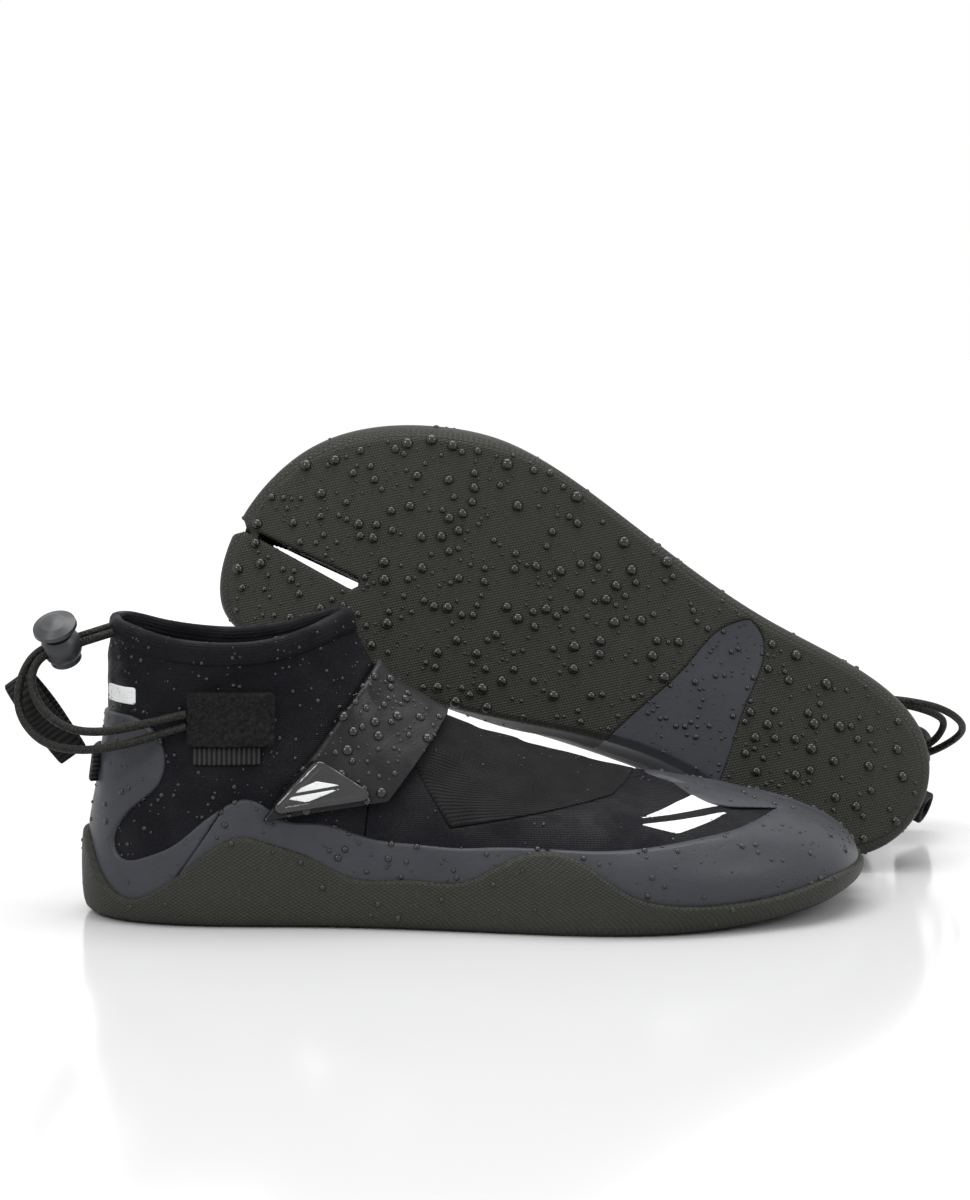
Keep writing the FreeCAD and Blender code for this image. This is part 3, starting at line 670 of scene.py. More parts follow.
def panel(surface, zone, face, back, bevel=1.0, drop=1.2, floor_back=0.0, relief=None, steps=(0.3, 1.0)):
    """Closed panel over a zone of a surface: rounded edge, then a wall down to its back."""
    data, triangles = surface
    values = zone(data[:, :3] + face * data[:, 3:6])
    near = (values[triangles] > -3).any(axis=1)
    data, triangles = used_only(np.column_stack([data, values]), triangles[near])
    data, triangles = sliced(data, triangles, 0.0, False)
    for step in steps:
        data, triangles = sliced(data, triangles, step * bevel, True)
    data, triangles = used_only(data, triangles)
    edge = np.clip(1 - data[:, -1] / bevel, 0, 1)
    depth = face + drop * (1 - np.sqrt(1 - edge ** 2))
    if relief is not None:
        depth = depth - relief(data[:, :3] + face * data[:, 3:6], data[:, -1])
    front = data[:, :3] + depth[:, None] * data[:, 3:6]
    behind = back + floor_back * data[:, 6]
    rear = data[:, :3] + behind[:, None] * data[:, 3:6]
    rim = edge_loops(triangles)
    count = len(front)
    walls = np.concatenate([np.stack([rim[:, 1], rim[:, 0], rim[:, 0] + count], axis=1),
                            np.stack([rim[:, 1], rim[:, 0] + count, rim[:, 1] + count], axis=1)])
    triangles = np.concatenate([triangles, triangles[:, ::-1] + count, walls])
    if face > back:
        triangles = triangles[:, ::-1]
    return Shape(np.concatenate([front, rear]), triangles, np.tile(data[:, 7:9], (2, 1)))


# ---- Blender objects ------------------------------------------------------------------------

def mesh_object(name, points, triangles, vectors=None):
    """Smooth-shaded mesh object from frame points."""
    mesh = bpy.data.meshes.new(name)
    mesh.vertices.add(len(points))
    mesh.vertices.foreach_set("co", np.asarray(points, np.float32).ravel())
    mesh.loops.add(3 * len(triangles))
    mesh.loops.foreach_set("vertex_index", np.asarray(triangles, np.int32).ravel())
    mesh.polygons.add(len(triangles))
    mesh.polygons.foreach_set("loop_start", np.arange(0, 3 * len(triangles), 3, dtype=np.int32))
    mesh.polygons.foreach_set("use_smooth", np.ones(len(triangles), bool))
    mesh.update(calc_edges=True)
    mesh.validate()
    for label, values in (vectors or {}).items():
        attribute = mesh.attributes.new(label, "FLOAT_VECTOR", "POINT")
        attribute.data.foreach_set("vector", np.asarray(values, np.float32).ravel())
    item = bpy.data.objects.new(name, mesh)
    bpy.context.scene.collection.objects.link(item)
    return item


def add_shape(side, name, shape, material, body=None, replaces=()):
    """One boot's copy of a shape, riding on one of that boot's bodies."""
    triangles = shape.triangles if side == "right" else shape.triangles[:, ::-1]
    weave = np.column_stack([shape.weave * MM, np.zeros(len(shape.weave))])
    vectors = {"boot": shape.points * MM, "weave": weave}
    item = mesh_object(f"{side}_{name}", place(side, shape.points), triangles, vectors)
    item.data.materials.append(material)
    if body:
        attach(item, f"{side}_{body}")
    if replaces:
        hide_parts(*[f"{side}_{node}" for node in replaces])
    return item


# ---- Materials ------------------------------------------------------------------------------

class Finish:
    """A material's node tree, with short calls for the nodes used here."""

    def __init__(self, name, colour, roughness, **sockets):
        self.material = bpy.data.materials.new(name)
        self.material.use_nodes = True
        self.tree = self.material.node_tree
        self.shader = self.tree.nodes["Principled BSDF"]
        self.shader.inputs["Base Color"].default_value = (*colour, 1)
        self.shader.inputs["Roughness"].default_value = roughness
        for label, value in sockets.items():
            self.shader.inputs[label.replace("_", " ")].default_value = value
        self.height = None

    def node(self, kind, inputs=None, **properties):
        made = self.tree.nodes.new(kind)
        for key, value in properties.items():
            setattr(made, key, value)
        for key, value in (inputs or {}).items():
            if isinstance(value, bpy.types.NodeSocket):
                self.tree.links.new(value, made.inputs[key])
            else:
                made.inputs[key].default_value = value
        return made

    def vector(self, label="boot"):
        return self.node("ShaderNodeAttribute", attribute_name=label).outputs["Vector"]

    def object_vector(self):
        return self.node("ShaderNodeTexCoord").outputs["Object"]

    def scaled(self, vector, scale):
        return self.node("ShaderNodeVectorMath", {0: vector, 1: scale}, operation="MULTIPLY").outputs[0]

    def math(self, operation, one, other=0.0, third=0.0):
        made = self.node("ShaderNodeMath", {0: one, 1: other, 2: third}, operation=operation)
        return made.outputs[0]

    def noise(self, vector, scale, detail=3.0, roughness=0.55):
        inputs = {"Vector": vector, "Scale": scale, "Detail": detail, "Roughness": roughness}
        return self.node("ShaderNodeTexNoise", inputs).outputs["Fac"]

    def cells(self, vector, scale, feature="F1", out="Distance"):
        inputs = {"Vector": vector, "Scale": scale}
        return self.node("ShaderNodeTexVoronoi", inputs, feature=feature).outputs[out]

    def ramp(self, value, low, high, to_low=0.0, to_high=1.0):
        inputs = {"Value": value, "From Min": low, "From Max": high, "To Min": to_low, "To Max": to_high}
        return self.node("ShaderNodeMapRange", inputs).outputs["Result"]

    def mix(self, share, low, high):
        made = self.node("ShaderNodeMix", data_type="RGBA")
        for socket, value in ((made.inputs[0], share), (made.inputs[6], low), (made.inputs[7], high)):
            if isinstance(value, bpy.types.NodeSocket):
                self.tree.links.new(value, socket)
            else:
                socket.default_value = (*value, 1) if isinstance(value, tuple) else value
        return made.outputs[2]

    def colour(self, socket):
        self.tree.links.new(socket, self.shader.inputs["Base Color"])

    def roughness(self, socket):
        self.tree.links.new(socket, self.shader.inputs["Roughness"])

    def relief(self, height, distance, strength=1.0):
        """Adds a layer of bump, height being from 0 to 1 and distance in metres."""
        inputs = {"Height": height, "Distance": distance, "Strength": strength}
        made = self.node("ShaderNodeBump", inputs)
        if self.height is not None:
            self.tree.links.new(self.height, made.inputs["Normal"])
        self.height = made.outputs["Normal"]
        self.tree.links.new(self.height, self.shader.inputs["Normal"])

    def wave(self, value, pitch):
        """Sine ridges, from 0 to 1, a pitch in metres apart along a coordinate."""
        turned = self.math("MULTIPLY", value, 2 * math.pi / pitch)
        return self.ramp(self.math("SINE", turned), -1, 1)

    def axes(self, vector):
        made = self.node("ShaderNodeSeparateXYZ", {0: vector})
        return made.outputs[0], made.outputs[1], made.outputs[2]


def sole_rubber():
    """Olive-grey rubber with a fine diamond weave moulded in it."""
    finish = Finish("sole_rubber", (0.026, 0.027, 0.020), 0.55, Specular_IOR_Level=0.22)
    across, up, _ = finish.axes(finish.vector("weave"))
    one = finish.wave(finish.math("ADD", finish.math("MULTIPLY", across, 0.8), up), 0.00125)
    other = finish.wave(finish.math("SUBTRACT", finish.math("MULTIPLY", across, 0.8), up), 0.00125)
    weave = finish.math("MULTIPLY", one, other)
    cloudy = finish.noise(finish.vector(), 28, 4)
    dusty = finish.noise(finish.vector(), 900, 2)
    shade = finish.mix(finish.ramp(cloudy, 0.3, 0.7), (0.023, 0.024, 0.018), (0.032, 0.033, 0.025))
    # Painted shade: the weave's grooves are darkened, as shade falls in them.
    shade = finish.mix(finish.ramp(weave, 0.0, 0.6, 0.55, 0.0), shade, (0.008, 0.008, 0.006))
    finish.colour(finish.mix(finish.ramp(dusty, 0.55, 0.8, 0.0, 0.35), shade, (0.055, 0.055, 0.045)))
    finish.roughness(finish.ramp(cloudy, 0.3, 0.7, 0.46, 0.62))
    finish.relief(weave, 0.00035, 0.9)
    finish.relief(dusty, 0.00008, 0.5)
    return finish.material


def rand_rubber():
    """Slate-grey satin rubber skin, faintly wrinkled."""
    finish = Finish("rand_rubber", (0.032, 0.034, 0.040), 0.42, Specular_IOR_Level=0.22)
    cloudy = finish.noise(finish.vector(), 35, 4)
    pores = finish.noise(finish.vector(), 1500, 2)
    creases = finish.node("ShaderNodeTexNoise", {"Vector": finish.scaled(finish.vector(), (1, 1, 2.2)),
                                                 "Scale": 120, "Detail": 4, "Distortion": 0.8}).outputs["Fac"]
    creases = finish.ramp(finish.math("ABSOLUTE", finish.math("SUBTRACT", creases, 0.5)), 0.0, 0.05)
    shade = finish.mix(finish.ramp(cloudy, 0.3, 0.7), (0.027, 0.029, 0.034), (0.038, 0.040, 0.047))
    # Painted shade: the crease lines are darkened, as shade falls in them.
    finish.colour(finish.mix(finish.ramp(creases, 0, 1, 0.18, 0.0), shade, (0.020, 0.022, 0.028)))
    finish.roughness(finish.ramp(cloudy, 0.3, 0.7, 0.36, 0.50))
    finish.relief(creases, 0.00010, 0.35)
    finish.relief(pores, 0.00004, 0.5)
    return finish.material


def jersey(name, colour, lighter, pitch=0.0009):
    """Nylon jersey laminated on neoprene: fine knit columns, damp and dry patches."""
    finish = Finish(name, colour, 0.6, Specular_IOR_Level=0.10)
    across, up, _ = finish.axes(finish.vector("weave"))
    rows = finish.wave(up, pitch * 0.75)
    columns = finish.wave(across, pitch)
    knit = finish.math("MULTIPLY", rows, columns)
    damp = finish.noise(finish.vector(), 60, 4)
    fuzz = finish.noise(finish.vector(), 1400, 2)
    shade = finish.mix(finish.ramp(fuzz, 0.35, 0.75), colour, lighter)
    # Painted shade: the hollows between the knit's loops are darkened.
    finish.colour(finish.mix(finish.ramp(knit, 0.0, 0.5, 0.4, 0.0), shade, tuple(c * 0.5 for c in colour)))
    finish.roughness(finish.ramp(damp, 0.4, 0.6, 0.34, 0.70))
    finish.relief(knit, 0.00018, 0.8)
    finish.relief(fuzz, 0.00010, 0.7)
    return finish.material


def ribbed_knit():
    """Charcoal stretch knit with narrow ribs along the foot."""
    finish = Finish("ribbed_knit", (0.009, 0.009, 0.010), 0.66, Specular_IOR_Level=0.10)
    x, y, z = finish.axes(finish.vector())
    ribs = finish.wave(y, 0.0008)
    courses = finish.wave(finish.math("ADD", x, z), 0.0008)
    wobble = finish.noise(finish.vector(), 90, 3)
    shade = finish.mix(finish.ramp(wobble, 0.35, 0.65), (0.007, 0.007, 0.008), (0.014, 0.014, 0.015))
    # Painted shade: the grooves between the ribs are darkened.
    finish.colour(finish.mix(finish.ramp(ribs, 0.2, 0.8, 0.6, 0.0), shade, (0.003, 0.003, 0.003)))
    finish.relief(ribs, 0.00030, 0.9)
    finish.relief(courses, 0.00012, 0.6)
    return finish.material


def strap_skin():
    """Embossed rubbery strap, wet and slightly shiny."""
    finish = Finish("strap_skin", (0.008, 0.008, 0.008), 0.4, Specular_IOR_Level=0.20)
    grain = finish.cells(finish.vector(), 900)
    cloudy = finish.noise(finish.vector(), 70, 4)
    finish.colour(finish.mix(finish.ramp(cloudy, 0.3, 0.7), (0.006, 0.006, 0.006), (0.012, 0.012, 0.012)))
    finish.roughness(finish.ramp(cloudy, 0.35, 0.65, 0.30, 0.52))
    finish.relief(grain, 0.00012, 0.6)
    return finish.material


def webbing(name, axis, pitch=0.0016, colour=(0.010, 0.010, 0.011)):
    """Woven tape with ribs across it."""
    finish = Finish(name, colour, 0.62, Specular_IOR_Level=0.12)
    ribs = finish.wave(finish.axes(finish.vector())[axis], pitch)
    threads = finish.noise(finish.scaled(finish.vector(), (1, 3, 1)), 1600, 2)
    # Painted light and shade: the ribs' tops are painted lighter and the grooves between them darker.
    finish.colour(finish.mix(ribs, tuple(c * 0.4 for c in colour), tuple(c * 2.4 for c in colour)))
    finish.relief(ribs, 0.00045, 0.9)
    finish.relief(threads, 0.00012, 0.7)
    return finish.material


def pile(name, colour, lighter):
    """Short hook-and-loop pile: a tangle of fibres."""
    finish = Finish(name, colour, 0.75, Specular_IOR_Level=0.10)
    tangle = finish.noise(finish.vector(), 900, 5, 0.75)
    tufts = finish.cells(finish.vector(), 700)
    finish.colour(finish.mix(finish.ramp(tangle, 0.4, 0.7), colour, lighter))
    finish.relief(tufts, 0.0005, 0.8)
    finish.relief(tangle, 0.0004, 0.8)
    return finish.material


def gloss_badge():
    """Thick moulded gel badge, glossy black."""
    finish = Finish("gloss_badge", (0.005, 0.005, 0.006), 0.14, Coat_Weight=0.3, Coat_Roughness=0.06)
    ripple = finish.noise(finish.vector(), 160, 2)
    finish.colour(finish.mix(ripple, (0.006, 0.006, 0.007), (0.012, 0.012, 0.013)))
    finish.relief(ripple, 0.00006, 0.4)
    return finish.material


def white_print():
    """Slightly worn white ink."""
    finish = Finish("white_print", (0.62, 0.63, 0.63), 0.45, Specular_IOR_Level=0.25)
    wear = finish.noise(finish.vector(), 700, 4)
    finish.colour(finish.mix(finish.ramp(wear, 0.30, 0.42), (0.34, 0.35, 0.35), (0.64, 0.65, 0.65)))
    finish.relief(wear, 0.00004, 0.5)
    return finish.material


def plastic():
    """Dark moulded plastic with a fine sparked surface."""
    finish = Finish("lock_plastic", (0.016, 0.017, 0.019), 0.30)
    sparks = finish.noise(finish.object_vector(), 2200, 2)
    cloudy = finish.noise(finish.object_vector(), 90, 3)
    finish.colour(finish.mix(cloudy, (0.012, 0.013, 0.015), (0.022, 0.023, 0.026)))
    finish.roughness(finish.ramp(cloudy, 0.3, 0.7, 0.28, 0.44))
    finish.relief(sparks, 0.00005, 0.5)
    return finish.material


def steel():
    finish = Finish("spring_steel", (0.55, 0.55, 0.56), 0.3, Metallic=1.0)
    drawn = finish.noise(finish.scaled(finish.object_vector(), (1, 1, 8)), 900, 2)
    finish.roughness(finish.ramp(drawn, 0.3, 0.7, 0.24, 0.4))
    return finish.material


def braid():
    """Braided shock cord: two sets of strands crossing."""
    finish = Finish("shock_cord", (0.016, 0.015, 0.013), 0.5, Specular_IOR_Level=0.20)
    vector = finish.object_vector()
    strands = finish.cells(finish.scaled(vector, (1.0, 1.0, 0.8)), 1250)
    fibres = finish.noise(vector, 2600, 2)
    # Painted shade: the hollows between the strands are darkened.
    finish.colour(finish.mix(finish.ramp(strands, 0.1, 0.6), (0.020, 0.019, 0.016), (0.005, 0.005, 0.004)))
    finish.relief(finish.math("SUBTRACT", 1.0, strands), 0.0004, 0.9)
    finish.relief(fibres, 0.00008, 0.5)
    return finish.material


def board_fibre():
    finish = Finish("board_fibre", (0.10, 0.085, 0.06), 0.8)
    fibres = finish.noise(finish.object_vector(), 500, 5)
    finish.colour(finish.mix(fibres, (0.07, 0.06, 0.04), (0.14, 0.12, 0.09)))
    finish.relief(fibres, 0.0002, 0.6)
    return finish.material


def dark_water():
    """Drops on dark rubber and neoprene: nearly black, with bright reflections."""
    finish = Finish("water_on_rubber", (0.010, 0.011, 0.010), 0.07, Specular_IOR_Level=0.42)
    ripple = finish.noise(finish.object_vector(), 350, 1)
    finish.colour(finish.mix(ripple, (0.006, 0.007, 0.006), (0.018, 0.019, 0.017)))
    return finish.material


def make_finishes():
    return {
        "sole": sole_rubber(),
        "rand": rand_rubber(),
        "jersey": jersey("black_jersey", (0.0030, 0.0029, 0.0046), (0.0085, 0.0082, 0.0118)),
        "lining": jersey("lining_jersey", (0.006, 0.006, 0.007), (0.016, 0.016, 0.017), 0.0012),
        "knit": ribbed_knit(),
        "strap": strap_skin(),
        "tape": webbing("loop_tape", 2),
        "keeper_tape": webbing("keeper_tape", 0, 0.0017, (0.014, 0.014, 0.014)),
        "pile": pile("loop_pile", (0.004, 0.004, 0.004), (0.016, 0.016, 0.016)),
        "hooks": pile("hook_pile", (0.012, 0.012, 0.012), (0.030, 0.030, 0.030)),
        "badge": gloss_badge(),
        "white": white_print(),
        "plastic": plastic(),
        "steel": steel(),
        "cord": braid(),
        "board": board_fibre(),
        "dark_water": dark_water(),
    }


# ---- Camera, light and floor ------------------------------------------------------------------

CAMERA_TILT = math.radians(6.2)
CAMERA_AIM = (-0.0067, -0.1119, 0.1152)
CAMERA_DISTANCE = 1.055
CAMERA_LENS = 94.4


def make_camera():
    """Long lens in front of the pair, looking slightly down."""
    camera = bpy.data.cameras.new("camera")
    camera.sensor_width = 36
    camera.sensor_fit = "AUTO"
    camera.lens = CAMERA_LENS
    item = bpy.data.objects.new("camera", camera)
    backwards = np.array([0, -math.cos(CAMERA_TILT), math.sin(CAMERA_TILT)])
    item.location = np.array(CAMERA_AIM) + CAMERA_DISTANCE * backwards
    item.rotation_euler = (math.pi / 2 - CAMERA_TILT, 0, 0)
    bpy.context.scene.collection.objects.link(item)
    bpy.context.scene.camera = item


def area_light(name, place_at, aim, size, power):
    lamp = bpy.data.lights.new(name, "AREA")
    lamp.shape = "RECTANGLE"
    lamp.size, lamp.size_y = size
    lamp.energy = power
    item = bpy.data.objects.new(name, lamp)
    item.location = place_at
    item.rotation_euler = (Vector(aim) - Vector(place_at)).to_track_quat("-Z", "Y").to_euler()
    bpy.context.scene.collection.objects.link(item)


def make_studio():
    """Soft light from above and both sides, in a white room."""
    area_light("overhead", (0.0, 0.1, 1.4), (0, 0, 0), (1.3, 0.9), 17)
    area_light("upper_left", (-0.9, -1.0, 1.1), (0, 0, 0.06), (0.5, 0.5), 8)
    area_light("right", (1.2, -0.8, 0.9), (0, 0, 0.06), (0.5, 0.7), 6)
    world = bpy.data.worlds.new("studio")
    world.use_nodes = True
    background = world.node_tree.nodes["Background"]
    background.inputs["Color"].default_value = (1, 1, 1, 1)
    background.inputs["Strength"].default_value = 1.0
    bpy.context.scene.world = world
    bpy.context.scene.view_settings.view_transform = "Standard"


def make_floor():
    """Plain pale glossy floor, painted lighter towards the room's horizon: painted light that makes the far floor
    white.
    """
    half_width, front, back = 4.0, -3.0, 6.0
    points = [(x, y, 0.0) for y in (front, back) for x in (-half_width, half_width)]
    floor = mesh_object("floor", points, grid_triangles(2, 2, closed=False))
    finish = Finish("floor_paint", (0.60, 0.60, 0.605), 0.14)
    distance = finish.axes(finish.object_vector())[1]
    # Painted light: the floor's colour turns white with distance, standing in for the brightly lit far floor.
    finish.colour(finish.mix(finish.ramp(distance, 0.15, 1.3), (0.60, 0.60, 0.605), (0.97, 0.97, 0.97)))
    floor.data.materials.append(finish.material)


# ---- Cords ----------------------------------------------------------------------------------

def lock_axes(side):
    """Middle of the lock, cord direction and the direction that parts the two cords."""
    lock = LOCKS[side]
    along = unit(lock["along"])
    apart = unit(np.cross(along, lock["press"]))
    return np.array(lock["centre"]), along, apart


def cord_points(side, which):
    """Route of one cord, from inside the collar to the keeper patch."""
    centre, along, apart = lock_axes(side)
    lane = centre + apart * (CORD_APART if which == "upper" else -CORD_APART)
    start = [lane - along * 19.0, lane - along * 3.5, lane + along * 8.5]
    return np.array(start + [np.array(p) for p in CORD_ROUTES[side][which]])


def add_cord(side, which, finishes):
    curve = bpy.data.curves.new(f"{side}_{which}_cord", "CURVE")
    curve.dimensions = "3D"
    curve.bevel_depth = CORD_DIAMETER / 2 * MM
    curve.bevel_resolution = 4
    curve.use_fill_caps = True
    curve.resolution_u = 10
    points = place(side, cord_points(side, which))
    spline = curve.splines.new("NURBS")
    spline.points.add(len(points) - 1)
    for point, at in zip(spline.points, points):
        point.co = (*at, 1)
    spline.order_u = 3
    spline.use_endpoint_u = True
    curve.materials.append(finishes["cord"])
    item = bpy.data.objects.new(curve.name, curve)
    bpy.context.scene.collection.objects.link(item)
    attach(item, f"{side}_boot")
    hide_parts(f"{side}_cord_{which}")


# ---- The boot's pieces ------------------------------------------------------------------------

def add_soles(finishes, shapes):
    sole = sole_mesh()
    outsole_zone = both(BELOW_OUTSOLE_EDGE, without(arch_zone), OUTSIDE_SLIT)
    arch = lambda points: np.minimum(arch_zone(points), BELOW_OUTSOLE_EDGE(points)) + 0.4
    shapes["outsole"] = panel(sole, outsole_zone, OUTSOLE_FACE, RAND_FACE + 0.2, 1.3, 1.6, 1.9)
    shapes["arch_panel"] = panel(sole, arch, ARCH_FACE, RAND_FACE + 0.2, 0.8, 0.6, 1.9)
    for side in SIDES:
        add_shape(side, "tread_sole", shapes["outsole"], finishes["sole"], "boot", ["outsole"])
        add_shape(side, "arch_window", shapes["arch_panel"], finishes["rand"], "boot", ["arch_panel"])


def add_rubber(finishes, shapes, wall):
    rand_back = NEOPRENE_FACE + 0.2
    zones = {
        "heel_cap": both(HEEL_ZONE, above_floor),
        "lateral_rand": both(RAND_ZONE, outer_half, above_floor),
        "medial_rand": both(RAND_ZONE, inner_half, above_floor),
        "toe_cap": both(toe_zone, above_floor),
    }
    for name, zone in zones.items():
        shapes[name] = panel(wall, zone, RAND_FACE, rand_back, 0.9, 1.1)
        for side in SIDES:
            add_shape(side, name + "_skin", shapes[name], finishes["rand"], "boot", [name])


def add_neoprene(finishes, shapes, wall):
    body = both(UNDER_COLLAR, above_floor, OUTSIDE_SLIT)
    front = both(body, without(ANKLE_ZONE))
    zones = {
        "ankle_lateral": both(body, ANKLE_ZONE, outer_half),
        "ankle_medial": both(body, ANKLE_ZONE, inner_half),
        "vamp": both(front, without(INSTEP_ZONE)),
        "instep_panel": both(front, INSTEP_ZONE),
    }
    for name, zone in zones.items():
        shapes[name] = panel(wall, zone, NEOPRENE_FACE, CAVITY_FACE, 0.9, 0.8)
        finish = finishes["knit"] if name == "instep_panel" else finishes["jersey"]
        for side in SIDES:
            add_shape(side, name + "_panel", shapes[name], finish, "boot", [name])


COLLAR_PROFILE = [(3.3, -8.4), (2.75, -7.9), (2.6, -6.0), (2.45, -3.4), (2.6, -1.5), (3.3, -0.4), (4.6, 0.0),
                  (5.9, -0.4), (6.6, -1.5), (6.75, -3.4), (6.7, -6.0), (6.6, -7.9), (6.1, -8.4)]


def add_collar(finishes, shapes):
    """Folded collar edge: a thick rounded rim."""
    line = smooth_line(COLLAR_LINE)
    above_line = lambda x, z: z - np.interp(x, line[:, 0], line[:, 1])
    rows = []
    for depth, height in COLLAR_PROFILE:
        base, inward = on_columns(above_line, height)
        rows.append(base + depth * inward)
    rows.append(rows[0])
    points = np.array(rows)
    sway = 0.35 * waves(points[6], 21, (25, 60))
    points[:, :, 2] += sway[None]
    weave = np.column_stack([np.tile(AROUND, len(rows)), np.repeat(np.arange(len(rows)) * 1.2, COLUMNS)])
    triangles = grid_triangles(len(rows), COLUMNS)[:, ::-1]
    data, triangles = welded(np.column_stack([points.reshape(-1, 3), weave]), triangles)
    shapes["collar"] = Shape(data[:, :3], triangles[:, ::-1], data[:, 3:5])
    for side in SIDES:
        add_shape(side, "collar_rim", shapes["collar"], finishes["jersey"], "boot",
                  ["collar_binding"])


def add_inside(finishes, shapes, wall):
    """Footbed and heel counter, seen through the mouth."""
    base, inward = on_columns(lambda x, z: z - toe_spring(x), FOOTBED_TOP)
    edge = base + inward * (CAVITY_FACE + 0.1)
    fill = floor_fill(edge, 40)
    half = COLUMNS // 2
    top = fill.reshape(-1, 3)
    share = np.repeat(np.linspace(0, 1, 40), half + 1)
    dish = 1.2 * (1 - 4 * share * (1 - share))
    top[:, 2] = toe_spring(top[:, 0]) + FOOTBED_TOP - 0.6 + dish
    up = np.tile([0, 0, -1.0], (len(top), 1))
    triangles = grid_triangles(40, half + 1, closed=False)
    grid = make_grid(top, up, np.zeros(len(top)), top[:, :2], triangles)
    grid = welded(*grid)
    shapes["footbed"] = panel(grid, outside_slit(SLIT_WALL), 0.0, 2.6, 1.0, 0.8)
    counter = lambda p: np.minimum.reduce([46 - p[:, 0], p[:, 2] - FOOTBED_TOP + 2, 55 - p[:, 2]])
    shapes["counter"] = panel(wall, counter, COUNTER_FACE, CAVITY_FACE + 0.05, 1.0, -0.8)
    for side in SIDES:
        for name, shape, slot, node in (("footbed_fabric", "footbed", "footbed", "footbed"),
                                        ("counter_fabric", "counter", "neoprene", "heel_counter")):
            add_shape(side, name, shapes[shape], finishes["lining"], "boot", [node])


def evenly(points, count):
    """A line of straight runs, sampled at even distances."""
    along = np.concatenate([[0], np.cumsum(np.linalg.norm(np.diff(points, axis=0), axis=1))])
    at = np.linspace(0, along[-1], count)
    return np.column_stack([np.interp(at, along, points[:, k]) for k in range(points.shape[1])])


def sleeve(rings):
    """Closed mesh over a row of rings, with both ends filled."""
    rings = np.asarray(rings, float)
    count, around = rings.shape[:2]
    points = np.concatenate([rings.reshape(-1, 3), [rings[0].mean(axis=0), rings[-1].mean(axis=0)]])
    first, last = count * around, count * around + 1
    start = (count - 1) * around
    caps = [(first, (a + 1) % around, a) for a in range(around)]
    caps += [(last, start + a, start + (a + 1) % around) for a in range(around)]
    triangles = np.concatenate([grid_triangles(count, around), caps])
    corner = points[triangles]
    if np.einsum("ij,ij->i", corner[:, 0], np.cross(corner[:, 1], corner[:, 2])).sum() < 0:
        triangles = triangles[:, ::-1]
    return Shape(points, triangles, np.zeros((len(points), 2)))


def add_slit_walls(finishes, shapes, wall):
    """Neoprene walls on both sides of the gap between the toes."""
    data, triangles = wall
    surface = data[:, :3] + NEOPRENE_FACE * data[:, 3:6]
    tree = BVHTree.FromPolygons(surface.tolist(), triangles.tolist())
    face, back = [evenly(np.roll(slit_outline(margin), 3, axis=0)[1:-1], 110) for margin in (0.15, 1.5)]
    rings = []
    for (x, y), (behind_x, behind_y) in zip(face, back):
        hit = tree.ray_cast(Vector((behind_x, behind_y, 130)), Vector((0, 0, -1)))[0]
        low = toe_spring(x) + OUTSOLE_THICK
        if hit is None or hit.z - low < 3:
            continue
        heights = np.linspace(low, hit.z - 0.3, 9)
        near = [(x, y, height) for height in heights]
        rings.append(near + [(behind_x, behind_y, height) for height in heights[::-1]])
    shapes["slit_walls"] = sleeve(rings)
    for side in SIDES:
        add_shape(side, "slit_walls", shapes["slit_walls"], finishes["jersey"], "boot")


def add_strap(finishes, shapes, wall):
    """One band across the instep, with hook and loop patches."""
    outer_zone = side_polygon(STRAP_OUTLINE)
    inner_zone = side_polygon(STRAP_INNER_OUTLINE)

    def band(points):
        share = smooth_step(RIDGE_Y - 2, RIDGE_Y + 2, points[:, 1])
        return (1 - share) * outer_zone(points) + share * inner_zone(points)

    shapes["strap"] = panel(wall, band, STRAP_FACE, STRAP_BACK_FACE, 0.7, 0.6)
    patch = both(side_polygon(PATCH_OUTLINE), outer_half)
    shapes["hooks"] = panel(wall, patch, HOOK_PATCH_FACE, STRAP_BACK_FACE, 0.4, -0.3)
    shapes["loops"] = panel(wall, patch, LOOP_PATCH_FACE, NEOPRENE_FACE + 0.2, 0.5, 0.5)
    for side in SIDES:
        strap = add_shape(side, "strap_band", shapes["strap"], finishes["strap"])
        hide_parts(f"{side}_strap_flap", f"{side}_strap_anchor")
        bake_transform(strap)
        add_shape(side, "strap_hooks", shapes["hooks"], finishes["hooks"], "strap", ["hook_patch"])
        add_shape(side, "strap_loops", shapes["loops"], finishes["pile"], "boot", ["loop_patch"])


def shrunken(corners, by):
    """A convex polygon with its edges moved inwards."""
    corners = np.asarray(corners, float)
    area = 0.5 * sum(a[0] * b[1] - b[0] * a[1] for a, b in zip(corners, np.roll(corners, -1, axis=0)))
    turned = 1 if area > 0 else -1
    lines = []
    for a, b in zip(corners, np.roll(corners, -1, axis=0)):
        way = (b - a) / np.linalg.norm(b - a)
        inward = np.array([-way[1], way[0]]) * turned
        lines.append((a + inward * by, way))
    result = []
    for (p, v), (q, w) in zip(lines[-1:] + lines[:-1], lines):
        step = np.linalg.solve(np.column_stack([v, -w]), q - p)
        result.append(p + v * step[0])
    return np.array(result)


def round_polygon(corners, radius):
    """Side-view zone of a convex polygon with round corners."""
    return side_polygon(shrunken(corners, radius), radius)


def emblem_zone(centre, length, width, tilt):
    """A long diamond split down its middle, in side view."""
    way = np.array([math.cos(tilt), math.sin(tilt)])
    side_way = np.array([-way[1], way[0]])
    centre = np.array(centre, float)
    gap = width * 0.09
    halves = []
    for sign in (1, -1):
        tips = [(-0.5 * length, gap), (0.5 * length, gap), (0.12 * length, width / 2)]
        if sign < 0:
            tips = [(-0.5 * length, gap), (0.5 * length, gap), (-0.12 * length, width / 2)]
        corners = [centre + way * a + side_way * b * sign for a, b in tips]
        halves.append(side_polygon(corners))
    return lambda points: np.maximum(halves[0](points), halves[1](points))


